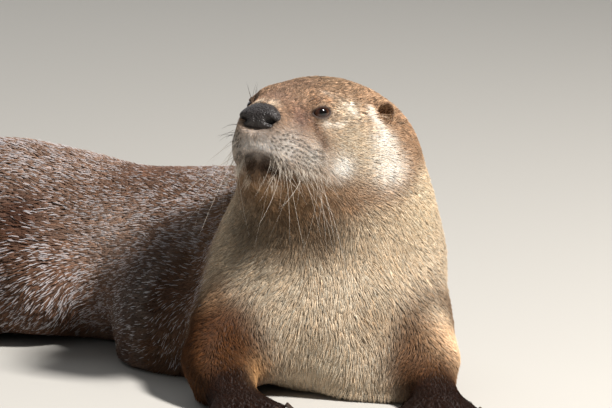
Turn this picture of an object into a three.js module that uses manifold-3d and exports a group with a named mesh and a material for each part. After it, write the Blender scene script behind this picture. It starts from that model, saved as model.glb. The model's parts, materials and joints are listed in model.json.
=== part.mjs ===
// A North American river otter, life size, lying on its belly with its forequarters raised and its
// head turned to its right. Millimetres, +Z up, the floor at z = 0, the chest facing -Y.
//
// The body is one smooth field, a function that is negative inside the animal: round forms for the
// muscles, swept along the spine and the limbs and blended where they join. Each part of the body is
// that field turned into triangles on a grid of its own, then cut off its neighbours by a plane or an
// ellipsoid, with a thin gap, so that head, neck, trunk, tail and legs are solids of their own.

import * as THREE from "three";
import { mergeVertices } from "three/addons/utils/BufferGeometryUtils.js";
import Module from "manifold-3d";

const wasm = await Module();
wasm.setup();

// ---------------------------------------------------------------- driving dimensions

const GAP = 0.35; // between neighbouring solids
const SHORTEST_EDGE = 0.15; // in a finished solid
const LEFT = 1; // the animal's left, towards +X at the chest
const RIGHT = -1;

// The head's own frame: x forwards to the nose, y to its left, z up; the origin is mid-skull.
const HEAD = {
  centre: [-15.5, 0, 198],
  yawDeg: 30, // turned to the animal's right
  pitchDeg: 15, // nose up
  rollDeg: 0,
};
const EYE = { at: [23.6, 26.2, 6.6], radius: 7.2 };
const EAR = { at: [-29, 49, 14], width: 7.5, height: 12, depth: 10.5, tiltDeg: -12, turnDeg: 28 };
const NOSE = { at: [60.8, 0, -6], width: 16.5, height: 11.5, depth: 9 };

const CLAW = { radius: 2.1, length: 10, dipDeg: 22, ahead: 6, above: 1.4 };

// Stations along the spine: [centre x, y, z], half width, half height, bearing of the animal's left.
// The bearing is in degrees from +X towards +Y: it turns as the body bends to its right.
const SPINE = [
  { at: [7, 16, 158], wide: 62, deep: 50, left: -12 },
  { at: [9, 20, 148], wide: 68, deep: 54, left: -9 },
  { at: [9, 24, 138], wide: 73, deep: 58, left: -6 },
  { at: [6, 36, 114], wide: 79, deep: 66, left: 2 },
  { at: [3, 54, 92], wide: 81, deep: 70, left: 10 },
  { at: [-6, 100, 78], wide: 74, deep: 73, left: 32 },
  { at: [-48, 146, 70], wide: 72, deep: 75, left: 44 },
  { at: [-100, 178, 65], wide: 75, deep: 74, left: 50 },
  { at: [-150, 210, 62], wide: 73, deep: 72, left: 52 },
  { at: [-205, 247, 62], wide: 77, deep: 80, left: 56 },
  { at: [-256, 279, 62], wide: 72, deep: 85, left: 60 },
  { at: [-304, 306, 50], wide: 54, deep: 62, left: 64 },
  { at: [-350, 326, 34], wide: 37, deep: 36, left: 70 },
];
const TAIL = [
  { at: [-350, 326, 33], wide: 37, deep: 35, left: 70 },
  { at: [-415, 347, 26], wide: 32, deep: 27.5, left: 78 },
  { at: [-495, 357, 20], wide: 26, deep: 21.5, left: 92 },
  { at: [-575, 350, 15], wide: 21, deep: 16.5, left: 102 },
  { at: [-650, 328, 11], wide: 16, deep: 12.2, left: 112 },
  { at: [-712, 294, 7.5], wide: 11, deep: 8.5, left: 122 },
  { at: [-754, 258, 4.6], wide: 6, deep: 5.4, left: 130 },
];

// ---------------------------------------------------------------- fields

const vec = (a) => new THREE.Vector3(a[0], a[1], a[2]);
const radians = THREE.MathUtils.degToRad;
const mix = THREE.MathUtils.lerp;

// The lesser of two distances, rounded over about k where they cross.
function joined(a, b, k) {
  const h = Math.max(k - Math.abs(a - b), 0) / k;
  return Math.min(a, b) - (h * h * k) / 4;
}

// An ellipsoid with its axes along x, y and z, then turned by Euler angles in degrees.
function ellipsoid(centre, radii, turnDeg = [0, 0, 0]) {
  const turn = new THREE.Matrix4().makeRotationFromEuler(new THREE.Euler(...turnDeg.map(radians)));
  const back = new THREE.Matrix4().setPosition(vec(centre)).multiply(turn).invert();
  const scaled = new THREE.Vector3();
  const steep = new THREE.Vector3();
  return (p) => {
    scaled.copy(p).applyMatrix4(back);
    steep.set(scaled.x / radii[0] ** 2, scaled.y / radii[1] ** 2, scaled.z / radii[2] ** 2);
    scaled.set(scaled.x / radii[0], scaled.y / radii[1], scaled.z / radii[2]);
    const size = scaled.length();
    return (size * (size - 1)) / Math.max(steep.length(), 1e-6);
  };
}

// A round limb through points [x, y, z, radius], as a row of overlapping balls joined by cones.
function roundLimb(points) {
  const ends = points.map((p) => ({ at: vec(p), radius: p[3] }));
  const along = new THREE.Vector3();
  const from = new THREE.Vector3();
  return (p) => {
    let least = Infinity;
    for (let i = 0; i + 1 < ends.length; i++) {
      along.subVectors(ends[i + 1].at, ends[i].at);
      from.subVectors(p, ends[i].at);
      const share = THREE.MathUtils.clamp(from.dot(along) / along.lengthSq(), 0, 1);
      const radius = mix(ends[i].radius, ends[i + 1].radius, share);
      const distance = from.addScaledVector(along, -share).length() - radius;
      least = joined(least, distance, 6);
    }
    return least;
  };
}

// A body swept along stations: ellipsoids set close together on a smooth curve through them.
function sweptBody(stations, spacing) {
  const curve = new THREE.CatmullRomCurve3(stations.map((s) => vec(s.at)), false, "centripetal");
  const count = Math.ceil(curve.getLength() / spacing);
  const slices = [];
  for (let i = 0; i <= count; i++) {
    const u = i / count;
    const place = u * (stations.length - 1);
    const a = stations[Math.min(Math.floor(place), stations.length - 2)];
    const b = stations[stations.indexOf(a) + 1];
    const share = place - stations.indexOf(a);
    const bearing = radians(mix(a.left, b.left, share));
    const along = curve.getTangent(u);
    const side = new THREE.Vector3(Math.cos(bearing), Math.sin(bearing), 0);
    side.addScaledVector(along, -side.dot(along)).normalize();
    const up = new THREE.Vector3().crossVectors(along, side);
    slices.push({
      at: curve.getPoint(u),
      side,
      up,
      wide: mix(a.wide, b.wide, share),
      deep: mix(a.deep, b.deep, share),
    });
  }
  const from = new THREE.Vector3();
  return (p) => {
    let least = Infinity;
    for (const slice of slices) {
      from.subVectors(p, slice.at);
      const mean = (slice.wide + slice.deep) / 2;
      const far = from.length() - Math.max(slice.wide, slice.deep);
      if (far > least) continue;
      const across = from.dot(slice.side);
      const over = from.dot(slice.up);
      const rest = Math.max(from.lengthSq() - across * across - over * over, 0);
      const size = Math.sqrt((across / slice.wide) ** 2 + (over / slice.deep) ** 2 + rest / mean ** 2);
      least = Math.min(least, (size - 1) * Math.min(slice.wide, slice.deep));
    }
    return least;
  };
}

// ---------------------------------------------------------------- the head

const headFrame = new THREE.Matrix4()
  .makeRotationZ(radians(-90 - HEAD.yawDeg))
  .multiply(new THREE.Matrix4().makeRotationY(radians(-HEAD.pitchDeg)))
  .multiply(new THREE.Matrix4().makeRotationX(radians(HEAD.rollDeg)))
  .setPosition(vec(HEAD.centre));
const intoHead = headFrame.clone().invert();

// The same form on both sides of the head.
function pair(centre, radii, turnDeg = [0, 0, 0]) {
  const [x, y, z] = centre;
  const [a, b, c] = turnDeg;
  const forms = [ellipsoid([x, y, z], radii, [a, b, c]), ellipsoid([x, -y, z], radii, [-a, b, -c])];
  return (p) => Math.min(forms[0](p), forms[1](p));
}

// Each form of the head and how softly it joins the ones before it.
const headForms = [
  { form: ellipsoid([-24, 0, -4], [50, 50, 40]), soft: 0.1 }, // braincase
  { form: ellipsoid([16, 0, 2], [40, 27, 24], [0, 8, 0]), soft: 16 }, // forehead and bridge
  { form: ellipsoid([43, 0, -12], [24, 23, 20]), soft: 10 }, // muzzle
  { form: pair([44, 14, -23], [21, 17, 17], [0, 0, -16]), soft: 8 }, // whisker pads
  { form: pair([0, 26, -20], [34, 23, 30], [0, 0, -14]), soft: 14 }, // cheeks
  { form: ellipsoid([33, 0, -44], [27, 21, 14.5], [0, -8, 0]), soft: 8 }, // lower jaw
  { form: pair([20, 20, 14], [12, 9, 7], [0, 0, -18]), soft: 12 }, // brows
  { form: ellipsoid([-8, 0, -38], [38, 38, 26]), soft: 14 }, // throat under the jaw
];

const local = new THREE.Vector3();
function headField(p) {
  local.copy(p).applyMatrix4(intoHead);
  const q = local.clone();
  let value = 1e3;
  for (const { form, soft } of headForms) value = joined(value, form(q), soft);
  return value;
}

// ---------------------------------------------------------------- neck, trunk, tail and legs

const spineField = sweptBody(SPINE, 11);
const tailField = sweptBody(TAIL, 6);
const napeField = ellipsoid([10, 26, 178], [55, 38, 40]);
const chestField = ellipsoid([2, 18, 58], [78, 62, 64]);
const flankField = ellipsoid([-98, 104, 30], [64, 74, 64], [0, 0, 30]); // bunched where the body bends
const foldField = ellipsoid([30, -22, 18], [36, 24, 24]); // loose skin between the forelegs

// The foreleg: shoulder, elbow against the chest, forearm and wrist, each [x, y, z, radius].
const FORELEG = {
  [RIGHT]: [[-47, 44, 92, 36], [-70, 14, 46, 29], [-75, -20, 29, 30], [-73, -46, 18, 25]],
  [LEFT]: [[52, 44, 90, 37], [67, 14, 44, 27], [73, -20, 28, 25], [76, -46, 16, 20]],
};
// The hind leg: hip, knee, heel, each [x, y, z, radius].
const HINDLEG = {
  [RIGHT]: [[-242, 212, 66, 48], [-216, 164, 44, 36], [-272, 184, 24, 21], [-300, 204, 16, 15]],
  [LEFT]: [[-188, 290, 66, 48], [-143, 286, 44, 36], [-180, 322, 24, 21], [-210, 338, 16, 15]],
};

// A webbed foot lies flat: a palm from the wrist or heel, and five toes that fan out from it.
const FOREPAW = { length: 51, toe: 27, spread: 17, girth: 6.2, palm: 19 };
const HINDFOOT = { length: 84, toe: 40, spread: 13, girth: 7, palm: 22 };
const PAWS = {
  forepaw_right: { from: [-70, -54, 15], bearing: -66, ...FOREPAW },
  forepaw_left: { from: [77, -54, 14], bearing: -87, ...FOREPAW },
  hindfoot_right: { from: [-301, 202, 13], bearing: -88, ...HINDFOOT },
  hindfoot_left: { from: [-208, 339, 13], bearing: 24, ...HINDFOOT },
};
const TOES = [-2, -1, 0, 1, 2];
const TOE_REACH = [0.8, 0.96, 1, 0.94, 0.76]; // the middle toes are the longest

function pawToes(paw) {
  const reach = paw.length - paw.toe;
  return TOES.map((toe, i) => {
    const angle = radians(paw.bearing + toe * paw.spread);
    const way = new THREE.Vector3(Math.cos(angle), Math.sin(angle), 0);
    const middle = radians(paw.bearing);
    const knuckle = vec(paw.from);
    knuckle.x += reach * 0.72 * Math.cos(middle) - toe * paw.palm * 0.36 * Math.sin(middle);
    knuckle.y += reach * 0.72 * Math.sin(middle) + toe * paw.palm * 0.36 * Math.cos(middle);
    knuckle.z = paw.girth + 2.6;
    const tip = knuckle.clone().addScaledVector(way, (paw.toe + reach * 0.28) * TOE_REACH[i]);
    tip.z = paw.girth - 1.2;
    return { knuckle, tip, way };
  });
}

function pawField(paw) {
  const angle = radians(paw.bearing);
  const reach = paw.length - paw.toe;
  const middle = [
    paw.from[0] + reach * 0.5 * Math.cos(angle),
    paw.from[1] + reach * 0.5 * Math.sin(angle),
    9,
  ];
  const palm = ellipsoid(middle, [reach * 0.9 + 6, paw.palm, 10.5], [0, 0, paw.bearing]);
  const toes = pawToes(paw);
  const fingers = toes.map(({ knuckle, tip }) =>
    roundLimb([
      [knuckle.x, knuckle.y, knuckle.z, paw.girth],
      [tip.x, tip.y, tip.z, paw.girth * 0.82],
    ]),
  );
  // The web between the toes is lower than they are, and ends just short of their tips.
  const web = ellipsoid(
    [
      paw.from[0] + (reach + paw.toe * 0.34) * Math.cos(angle),
      paw.from[1] + (reach + paw.toe * 0.34) * Math.sin(angle),
      2,
    ],
    [paw.toe * 0.55, paw.palm * 1.5, 5.6],
    [0, 0, paw.bearing],
  );
  return (p) => {
    let value = palm(p);
    for (const finger of fingers) value = joined(value, finger(p), 5);
    return joined(value, web(p), 4);
  };
}

const legFields = [
  { field: roundLimb(FORELEG[RIGHT]), soft: 22 },
  { field: roundLimb(FORELEG[LEFT]), soft: 22 },
  { field: roundLimb(HINDLEG[RIGHT]), soft: 22 },
  { field: roundLimb(HINDLEG[LEFT]), soft: 22 },
];
const pawFields = Object.values(PAWS).map(pawField);

// The whole animal but for its ears, eyes, nose and claws.
function bodyField(p) {
  let value = spineField(p);
  value = joined(value, tailField(p), 10);
  value = joined(value, napeField(p), 14);
  value = joined(value, chestField(p), 20);
  value = joined(value, flankField(p), 16);
  value = joined(value, foldField(p), 12);
  value = joined(value, headField(p), 18);
  for (const { field, soft } of legFields) value = joined(value, field(p), soft);
  for (const paw of pawFields) value = joined(value, paw(p), 8);
  return value;
}

// ---------------------------------------------------------------- solids

const UNITS = [[1, 0, 0], [0, 1, 0], [0, 0, 1]];

// Where two sheets of a surface would share a cell and touch along an edge, the space between them
// is filled: of a grid square with its corners in and out by turns, the shallower outer one goes in.
function fillPinches(values, corners, place) {
  let filled = 0;
  for (let i = 0; i + 1 < corners[0]; i++)
    for (let j = 0; j + 1 < corners[1]; j++)
      for (let k = 0; k + 1 < corners[2]; k++)
        for (let axis = 0; axis < 3; axis++) {
          const [u, v] = [UNITS[axis], UNITS[(axis + 1) % 3]];
          const square = [[0, 0], [1, 0], [1, 1], [0, 1]].map(([m, n]) =>
            place(i + m * u[0] + n * v[0], j + m * u[1] + n * v[1], k + m * u[2] + n * v[2]),
          );
          const inside = square.map((n) => values[n] < 0);
          if (inside[0] !== inside[2] || inside[1] !== inside[3] || inside[0] === inside[1]) continue;
          const outer = square.filter((n) => values[n] >= 0);
          values[values[outer[0]] < values[outer[1]] ? outer[0] : outer[1]] = -0.1;
          filled++;
        }
  if (filled) fillPinches(values, corners, place);
}

// Closes a field into triangles on a grid of cells in a frame of its own. Each cell that the surface
// crosses gets one vertex, moved onto the surface, and each crossed grid edge joins four of them.
function gridSurface(field, frame, low, high, cell) {
  const count = [0, 1, 2].map((k) => Math.max(3, Math.round((high[k] - low[k]) / cell[k])));
  const step = count.map((n, k) => (high[k] - low[k]) / n);
  const corners = count.map((n) => n + 1);
  const place = (i, j, k) => (i * corners[1] + j) * corners[2] + k;
  const values = new Float64Array(corners[0] * corners[1] * corners[2]);
  const at = (i, j, k) =>
    new THREE.Vector3(low[0] + i * step[0], low[1] + j * step[1], low[2] + k * step[2]).applyMatrix4(frame);
  for (let i = 0; i < corners[0]; i++)
    for (let j = 0; j < corners[1]; j++)
      for (let k = 0; k < corners[2]; k++) {
        const wall = [i, j, k].some((n, axis) => n === 0 || n === count[axis]);
        const value = field(at(i, j, k));
        values[place(i, j, k)] = wall ? Math.max(value, 0.5) : value;
      }
  fillPinches(values, corners, place);

  const positions = [];
  const vertexOf = new Map();
  const shift = new THREE.Vector3();
  function vertex(i, j, k) {
    const key = place(i, j, k);
    if (vertexOf.has(key)) return vertexOf.get(key);
    const sum = new THREE.Vector3();
    let crossings = 0;
    for (let a = 0; a < 8; a++)
      for (let axis = 0; axis < 3; axis++) {
        const start = [i + (a & 1), j + ((a >> 1) & 1), k + ((a >> 2) & 1)];
        if ((a >> axis) & 1) continue;
        const end = start.slice();
        end[axis]++;
        const va = values[place(...start)];
        const vb = values[place(...end)];
        if (va < 0 === vb < 0) continue;
        sum.add(at(...start).lerp(at(...end), va / (va - vb)));
        crossings++;
      }
    sum.divideScalar(crossings);
    settle(sum);
    positions.push(sum.x, sum.y, sum.z);
    vertexOf.set(key, positions.length / 3 - 1);
    return vertexOf.get(key);
  }
  // Short steps down the field's slope put the vertex on its surface, and keep it in its cell.
  function settle(point) {
    const reach = 0.45 * Math.min(...step);
    const from = point.clone();
    const e = 0.4; // over which the slope is measured
    for (let turn = 0; turn < 3; turn++) {
      const value = field(point);
      shift.set(
        field(new THREE.Vector3(point.x + e, point.y, point.z)) - value,
        field(new THREE.Vector3(point.x, point.y + e, point.z)) - value,
        field(new THREE.Vector3(point.x, point.y, point.z + e)) - value,
      ).divideScalar(e);
      if (shift.lengthSq() < 1e-4) return;
      point.addScaledVector(shift, -value / shift.lengthSq());
      const moved = point.distanceTo(from);
      if (moved > reach) point.lerpVectors(from, point.clone(), reach / moved);
    }
  }

  const triangles = [];
  for (let i = 0; i < count[0]; i++)
    for (let j = 0; j < count[1]; j++)
      for (let k = 0; k < count[2]; k++)
        UNITS.forEach((unit, axis) => {
          if ([i, j, k].some((n, other) => other !== axis && n === 0)) return;
          const va = values[place(i, j, k)];
          const vb = values[place(i + unit[0], j + unit[1], k + unit[2])];
          if (va < 0 === vb < 0) return;
          const [b, c] = [(axis + 1) % 3, (axis + 2) % 3];
          const ring = [[0, 0], [-1, 0], [-1, -1], [0, -1]].map(([db, dc]) => {
            const where = [i, j, k];
            where[b] += db;
            where[c] += dc;
            return vertex(...where);
          });
          if (va >= 0) ring.reverse();
          triangles.push(...splitSquare(ring, positions));
        });
  const geometry = new THREE.BufferGeometry();
  geometry.setAttribute("position", new THREE.Float32BufferAttribute(positions, 3));
  geometry.setIndex(triangles);
  return geometry;
}

// Two triangles from four corners, along the shorter diagonal.
function splitSquare(ring, positions) {
  const point = (n) => new THREE.Vector3().fromArray(positions, 3 * n);
  const first = point(ring[0]).distanceTo(point(ring[2]));
  const second = point(ring[1]).distanceTo(point(ring[3]));
  const [a, b, c, d] = first <= second ? ring : [ring[1], ring[2], ring[3], ring[0]];
  return [a, b, c, a, c, d];
}

function solidOf(geometry) {
  const bare = geometry.index ? geometry.toNonIndexed() : geometry.clone();
  bare.deleteAttribute("normal");
  bare.deleteAttribute("uv");
  const merged = mergeVertices(bare, 1e-4);
  const vertProperties = new Float32Array(merged.attributes.position.array);
  const triVerts = new Uint32Array(merged.index.array);
  return new wasm.Manifold(new wasm.Mesh({ numProp: 3, vertProperties, triVerts }));
}

// A closed surface of the body in the box low..high of a frame, with cells of its own size.
function bodySolid(field, frame, low, high, cell) {
  return solidOf(gridSurface(field, frame, low, high, cell));
}

// Everything on the side of a plane that its normal points to.
function halfSpace(point, normal) {
  const size = 4000;
  const block = new THREE.BoxGeometry(size, size, size);
  block.translate(0, 0, size / 2);
  const turn = new THREE.Quaternion().setFromUnitVectors(new THREE.Vector3(0, 0, 1), normal);
  block.applyQuaternion(turn);
  block.translate(point.x, point.y, point.z);
  return solidOf(block);
}

function ellipsoidSolid(frame, radii, sides = 28) {
  const ball = new THREE.SphereGeometry(1, sides, Math.round(sides * 0.6));
  ball.scale(radii[0], radii[1], radii[2]);
  ball.applyMatrix4(frame);
  return solidOf(ball);
}

// The part of a solid with the most volume, where a cut leaves slivers beside it.
function largest(solid) {
  const pieces = solid.decompose();
  return pieces.reduce((a, b) => (b.volume() > a.volume() ? b : a));
}

// A frame at a point of the spine: x along the body, y to the animal's left, z up from the back.
function frameAlong(from, to, up = new THREE.Vector3(0, 0, 1)) {
  const x = vec(to).sub(vec(from)).normalize();
  const y = new THREE.Vector3().crossVectors(up, x).normalize();
  const z = new THREE.Vector3().crossVectors(x, y);
  return new THREE.Matrix4().makeBasis(x, y, z).setPosition(vec(from));
}

const floor = halfSpace(new THREE.Vector3(0, 0, 0), new THREE.Vector3(0, 0, 1));

// ---------------------------------------------------------------- materials

const paint = (color, roughness) => new THREE.MeshStandardMaterial({ color, roughness, metalness: 0 });
const MATERIALS = {
  backFur: paint("#7a6050", 0.75),
  throatFur: paint("#b9a383", 0.8),
  legFur: paint("#5b412c", 0.8),
  bareSkin: paint("#2c2625", 0.5),
  eye: paint("#1a100c", 0.08),
  claw: paint("#4a3b30", 0.4),
};

const otter = new THREE.Group();
const animal = new THREE.Group();
otter.add(animal);

// A cut leaves edges too short to matter. Each one's two ends become one vertex, where the surface
// stays closed and simple, and the two triangles that this flattens are left out.
function closeShortEdges(positions, indices, shortest) {
  const point = (n) => new THREE.Vector3().fromArray(positions, 3 * n);
  const around = Array.from({ length: positions.length / 3 }, () => new Set());
  const triangles = [];
  for (let t = 0; t < indices.length; t += 3) {
    const corners = Array.from(indices.slice(t, t + 3));
    for (const corner of corners) around[corner].add(triangles.length);
    triangles.push(corners);
  }
  const neighbours = (n) => new Set([...around[n]].flatMap((t) => triangles[t]).filter((m) => m !== n));
  for (let t = 0; t < triangles.length; t++)
    for (let k = 0; k < 3 && triangles[t]; k++) {
      const [kept, dropped] = [triangles[t][k], triangles[t][(k + 1) % 3]];
      if (point(kept).distanceTo(point(dropped)) > shortest) continue;
      const beside = neighbours(kept);
      if ([...neighbours(dropped)].filter((n) => beside.has(n)).length !== 2) continue;
      for (const other of around[dropped]) {
        const corners = triangles[other].map((n) => (n === dropped ? kept : n));
        const flat = new Set(corners).size < 3;
        if (flat) for (const n of triangles[other]) around[n].delete(other);
        else around[kept].add(other);
        triangles[other] = flat ? null : corners;
      }
      around[dropped].clear();
    }
  return triangles.filter((corners) => corners).flat();
}

function addNode(name, solid, material) {
  const mesh = solid.getMesh();
  const width = mesh.numProp;
  const positions = new Float32Array(mesh.numVert * 3);
  for (let i = 0; i < mesh.numVert; i++)
    positions.set(mesh.vertProperties.subarray(i * width, i * width + 3), i * 3);
  const geometry = new THREE.BufferGeometry();
  geometry.setAttribute("position", new THREE.BufferAttribute(positions, 3));
  geometry.setIndex(closeShortEdges(positions, mesh.triVerts, SHORTEST_EDGE));
  const node = new THREE.Mesh(geometry, material);
  node.name = name;
  animal.add(node);
}

// ---------------------------------------------------------------- cuts between the parts

// A plane across the spine, its normal towards the tail.
function cut(at, along) {
  return { at: vec(at), along: vec(along).normalize() };
}
const CUTS = {
  head: cut([8, 42, 174], [0.12, 0.42, -0.9]),
  neck: cut([2, 40, 124], [-0.05, 0.35, -1]),
  chest: cut([-56, 124, 74], [-0.7, 0.7, 0]),
  belly: cut([-160, 211, 67], [-0.8, 0.6, 0]),
  rump: cut([-302, 304, 50], [-0.88, 0.46, 0]),
  tailBase: cut([-455, 354, 22], [-1, 0.04, 0]),
  tailMiddle: cut([-612, 340, 13], [-0.96, -0.28, 0]),
};

// What lies between two cuts, the first towards the head and the second towards the tail.
function between(solid, headward, tailward) {
  let kept = solid;
  const nudge = (c, sign) => c.at.clone().addScaledVector(c.along, (sign * GAP) / 2);
  if (headward) kept = kept.intersect(halfSpace(nudge(headward, 1), headward.along));
  if (tailward) kept = kept.intersect(halfSpace(nudge(tailward, -1), tailward.along.clone().negate()));
  return kept;
}

// The legs' boundaries with the body, and the feet's with the legs: an ellipsoid round each one.
const LEG_BOUNDS = {
  foreleg_right: { centre: [-76, -10, 32], radii: [43, 58, 50], turn: 0, paw: "forepaw_right" },
  foreleg_left: { centre: [78, -10, 32], radii: [43, 60, 50], turn: 0, paw: "forepaw_left" },
  hindleg_right: { centre: [-242, 174, 36], radii: [74, 56, 58], turn: -38, paw: "hindfoot_right" },
  hindleg_left: { centre: [-170, 304, 36], radii: [74, 56, 58], turn: -28, paw: "hindfoot_left" },
};
function legBound({ centre, radii, turn }, grow) {
  const frame = new THREE.Matrix4().makeRotationZ(radians(turn)).setPosition(vec(centre));
  return ellipsoidSolid(frame, radii.map((r) => r + grow), 12);
}
function pawBound({ from, bearing, length, palm }, grow) {
  const centre = vec(from);
  centre.x += 0.56 * length * Math.cos(radians(bearing));
  centre.y += 0.56 * length * Math.sin(radians(bearing));
  const radii = [0.62 * length, palm * 1.8, 24];
  return legBound({ centre: centre.toArray(), radii, turn: bearing }, grow);
}
const limbRoom = Object.values(LEG_BOUNDS).flatMap((bound) => [
  legBound(bound, GAP),
  pawBound(PAWS[bound.paw], GAP),
]);

// ---------------------------------------------------------------- head, eyes, ears, nose

const headLow = [-92, -84, -94];
const headHigh = [76, 84, 50];
const headRaw = bodySolid(bodyField, headFrame, headLow, headHigh, [11, 10.4, 10.4]);

function inHead(at) {
  return headFrame.clone().multiply(new THREE.Matrix4().makeTranslation(at[0], at[1], at[2]));
}

function eyeballFrame(side) {
  return inHead([EYE.at[0], side * EYE.at[1], EYE.at[2]]);
}

// The ear is a small round cup: an ellipsoid on its side, scooped out from the front.
function earFrame(side) {
  const turn = new THREE.Euler(0, radians(EAR.tiltDeg), side * radians(EAR.turnDeg), "ZYX");
  const place = inHead([EAR.at[0], side * EAR.at[1], EAR.at[2]]);
  return place.multiply(new THREE.Matrix4().makeRotationFromEuler(turn));
}
function earSolid(side, grow) {
  return ellipsoidSolid(earFrame(side), [EAR.depth + grow, EAR.width + grow, EAR.height + grow], 12);
}
function earCup(side) {
  const frame = earFrame(side).multiply(new THREE.Matrix4().makeTranslation(6.5, side * 4.5, 0));
  return earSolid(side, 0).subtract(ellipsoidSolid(frame, [9, 6, 8.6], 10));
}

// The nose pad: wide and blunt, with a nostril opening to each side low down.
const noseFrame = inHead(NOSE.at);
function nosePad(grow) {
  return ellipsoidSolid(noseFrame, [NOSE.depth + grow, NOSE.width + grow, NOSE.height + grow], 12);
}
function nostril(side) {
  const turn = new THREE.Matrix4().makeRotationZ(side * radians(40));
  const frame = inHead([NOSE.at[0] + 5, side * 9.5, NOSE.at[2] - 3.5]).multiply(turn);
  return ellipsoidSolid(frame, [7, 3, 3], 8);
}

let head = between(headRaw, null, CUTS.head);
for (const side of [LEFT, RIGHT]) {
  head = head.subtract(ellipsoidSolid(eyeballFrame(side), Array(3).fill(EYE.radius + GAP), 12));
  head = head.subtract(earSolid(side, GAP));
}
head = head.subtract(nosePad(GAP));
addNode("head", largest(head), MATERIALS.throatFur);
for (const [side, name] of [[LEFT, "left"], [RIGHT, "right"]]) {
  addNode("eye_" + name, ellipsoidSolid(eyeballFrame(side), Array(3).fill(EYE.radius), 12), MATERIALS.eye);
  addNode("ear_" + name, largest(earCup(side)), MATERIALS.backFur);
}
addNode("nose", nosePad(0).subtract(nostril(LEFT)).subtract(nostril(RIGHT)), MATERIALS.bareSkin);

// ---------------------------------------------------------------- neck, trunk and tail

function lengthOfBody(from, to, reach, halfWide, low, high, cell) {
  const frame = frameAlong(from, to);
  return bodySolid(bodyField, frame, [-reach[0], -halfWide, low], [reach[1], halfWide, high], cell);
}

const upright = new THREE.Matrix4();
const neckRaw = bodySolid(bodyField, upright, [-100, -60, 90], [106, 130, 232], [20, 20, 20]);
addNode("neck", largest(between(neckRaw, CUTS.head, CUTS.neck)), MATERIALS.throatFur);

const chestRaw = bodySolid(bodyField, upright, [-130, -70, -12], [120, 210, 170], [25, 25, 25]);
let chest = between(chestRaw, CUTS.neck, CUTS.chest).intersect(floor);
for (const room of limbRoom) chest = chest.subtract(room);
addNode("chest", largest(chest), MATERIALS.throatFur);

let belly = lengthOfBody([-56, 124, 74], [-160, 211, 74], [40, 170], 116, -90, 108, [29, 26, 26]);
belly = between(belly, CUTS.chest, CUTS.belly).intersect(floor);
for (const room of limbRoom) belly = belly.subtract(room);
addNode("belly", largest(belly), MATERIALS.backFur);

let rump = lengthOfBody([-160, 211, 67], [-302, 304, 67], [40, 210], 120, -80, 110, [28, 26, 26]);
rump = between(rump, CUTS.belly, CUTS.rump).intersect(floor);
for (const room of limbRoom) rump = rump.subtract(room);
addNode("rump", largest(rump), MATERIALS.backFur);

// Each length of the tail runs from one cut to the next, and the last one to the tip.
const TAIL_LENGTHS = [
  { name: "tail_base", after: CUTS.rump, before: CUTS.tailBase, height: 40, cell: [30, 19, 18] },
  { name: "tail_middle", after: CUTS.tailBase, before: CUTS.tailMiddle, height: 20, cell: [27, 14, 13] },
  { name: "tail_tip", after: CUTS.tailMiddle, before: null, height: 12, cell: [22, 9, 9] },
];
const tailEnd = TAIL[TAIL.length - 1].at;
for (const { name, after, before, height, cell } of TAIL_LENGTHS) {
  const from = [after.at.x, after.at.y, height];
  const end = before ? before.at.toArray() : tailEnd;
  const raw = lengthOfBody(from, [end[0], end[1], height], [30, 200], 90, -50, 90, cell);
  addNode(name, largest(between(raw, after, before).intersect(floor)), MATERIALS.backFur);
}

// ---------------------------------------------------------------- legs, feet and claws

// A claw is a short cone out of the end of its toe, with its tip dipped towards the ground.
function clawSolid({ tip, way }, grow) {
  const cone = new THREE.ConeGeometry(CLAW.radius + grow, CLAW.length + 2 * grow, 6);
  const dip = radians(CLAW.dipDeg);
  const axis = new THREE.Vector3(way.x * Math.cos(dip), way.y * Math.cos(dip), -Math.sin(dip));
  cone.applyQuaternion(new THREE.Quaternion().setFromUnitVectors(new THREE.Vector3(0, 1, 0), axis));
  const middle = tip.clone().addScaledVector(way, CLAW.ahead);
  cone.translate(middle.x, middle.y, middle.z + CLAW.above);
  return solidOf(cone);
}

for (const [name, bound] of Object.entries(LEG_BOUNDS)) {
  const reach = Math.max(...bound.radii) + 12;
  const low = [bound.centre[0] - reach, bound.centre[1] - reach, -14];
  const high = [bound.centre[0] + reach, bound.centre[1] + reach, bound.centre[2] + reach];
  const raw = bodySolid(bodyField, upright, low, high, [19, 19, 19]);
  const leg = raw.intersect(legBound(bound, 0)).subtract(pawBound(PAWS[bound.paw], GAP)).intersect(floor);
  addNode(name, largest(leg), MATERIALS.legFur);

  const paw = PAWS[bound.paw];
  const ankle = new THREE.Matrix4().makeRotationZ(radians(paw.bearing)).setPosition(vec(paw.from));
  const cell = [paw.length * 0.15, paw.girth * 1.16, paw.girth * 1.16];
  const footRaw = bodySolid(bodyField, ankle, [-20, -50, -24], [paw.length + 14, 50, 42], cell);
  let foot = footRaw.intersect(pawBound(paw, 0)).intersect(floor);
  const toes = pawToes(paw);
  for (const toe of toes) foot = foot.subtract(clawSolid(toe, GAP));
  addNode(bound.paw, largest(foot), MATERIALS.bareSkin);
  toes.forEach((toe, i) => addNode(`${bound.paw}_claw_${i + 1}`, clawSolid(toe, 0), MATERIALS.claw));
}

// The group's origin is the middle of the animal's box, on the floor.
const box = new THREE.Box3().setFromObject(animal);
animal.position.set(-(box.min.x + box.max.x) / 2, -(box.min.y + box.max.y) / 2, 0);

export default otter;
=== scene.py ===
# %% [markdown]
# # A North American river otter as a still museum model
#
# The animal lies on its belly with its forequarters raised, its head turned and lifted, and its tail
# laid in a curve behind it. A taxidermist stretches a tanned skin over a carved form, sets glass eyes,
# models the lids and the nose, and combs the coat. This file works in the same order. The form is the
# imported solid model, the skin is one mesh pulled over it, and the coat is many thin locks of hair that
# stand on the skin and follow its lie. The locks are solid mesh, because hair particles and hair curves
# belong to the render only and would be lost from a model that is kept as meshes.

# %% Load the form
import json
import math

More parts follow.
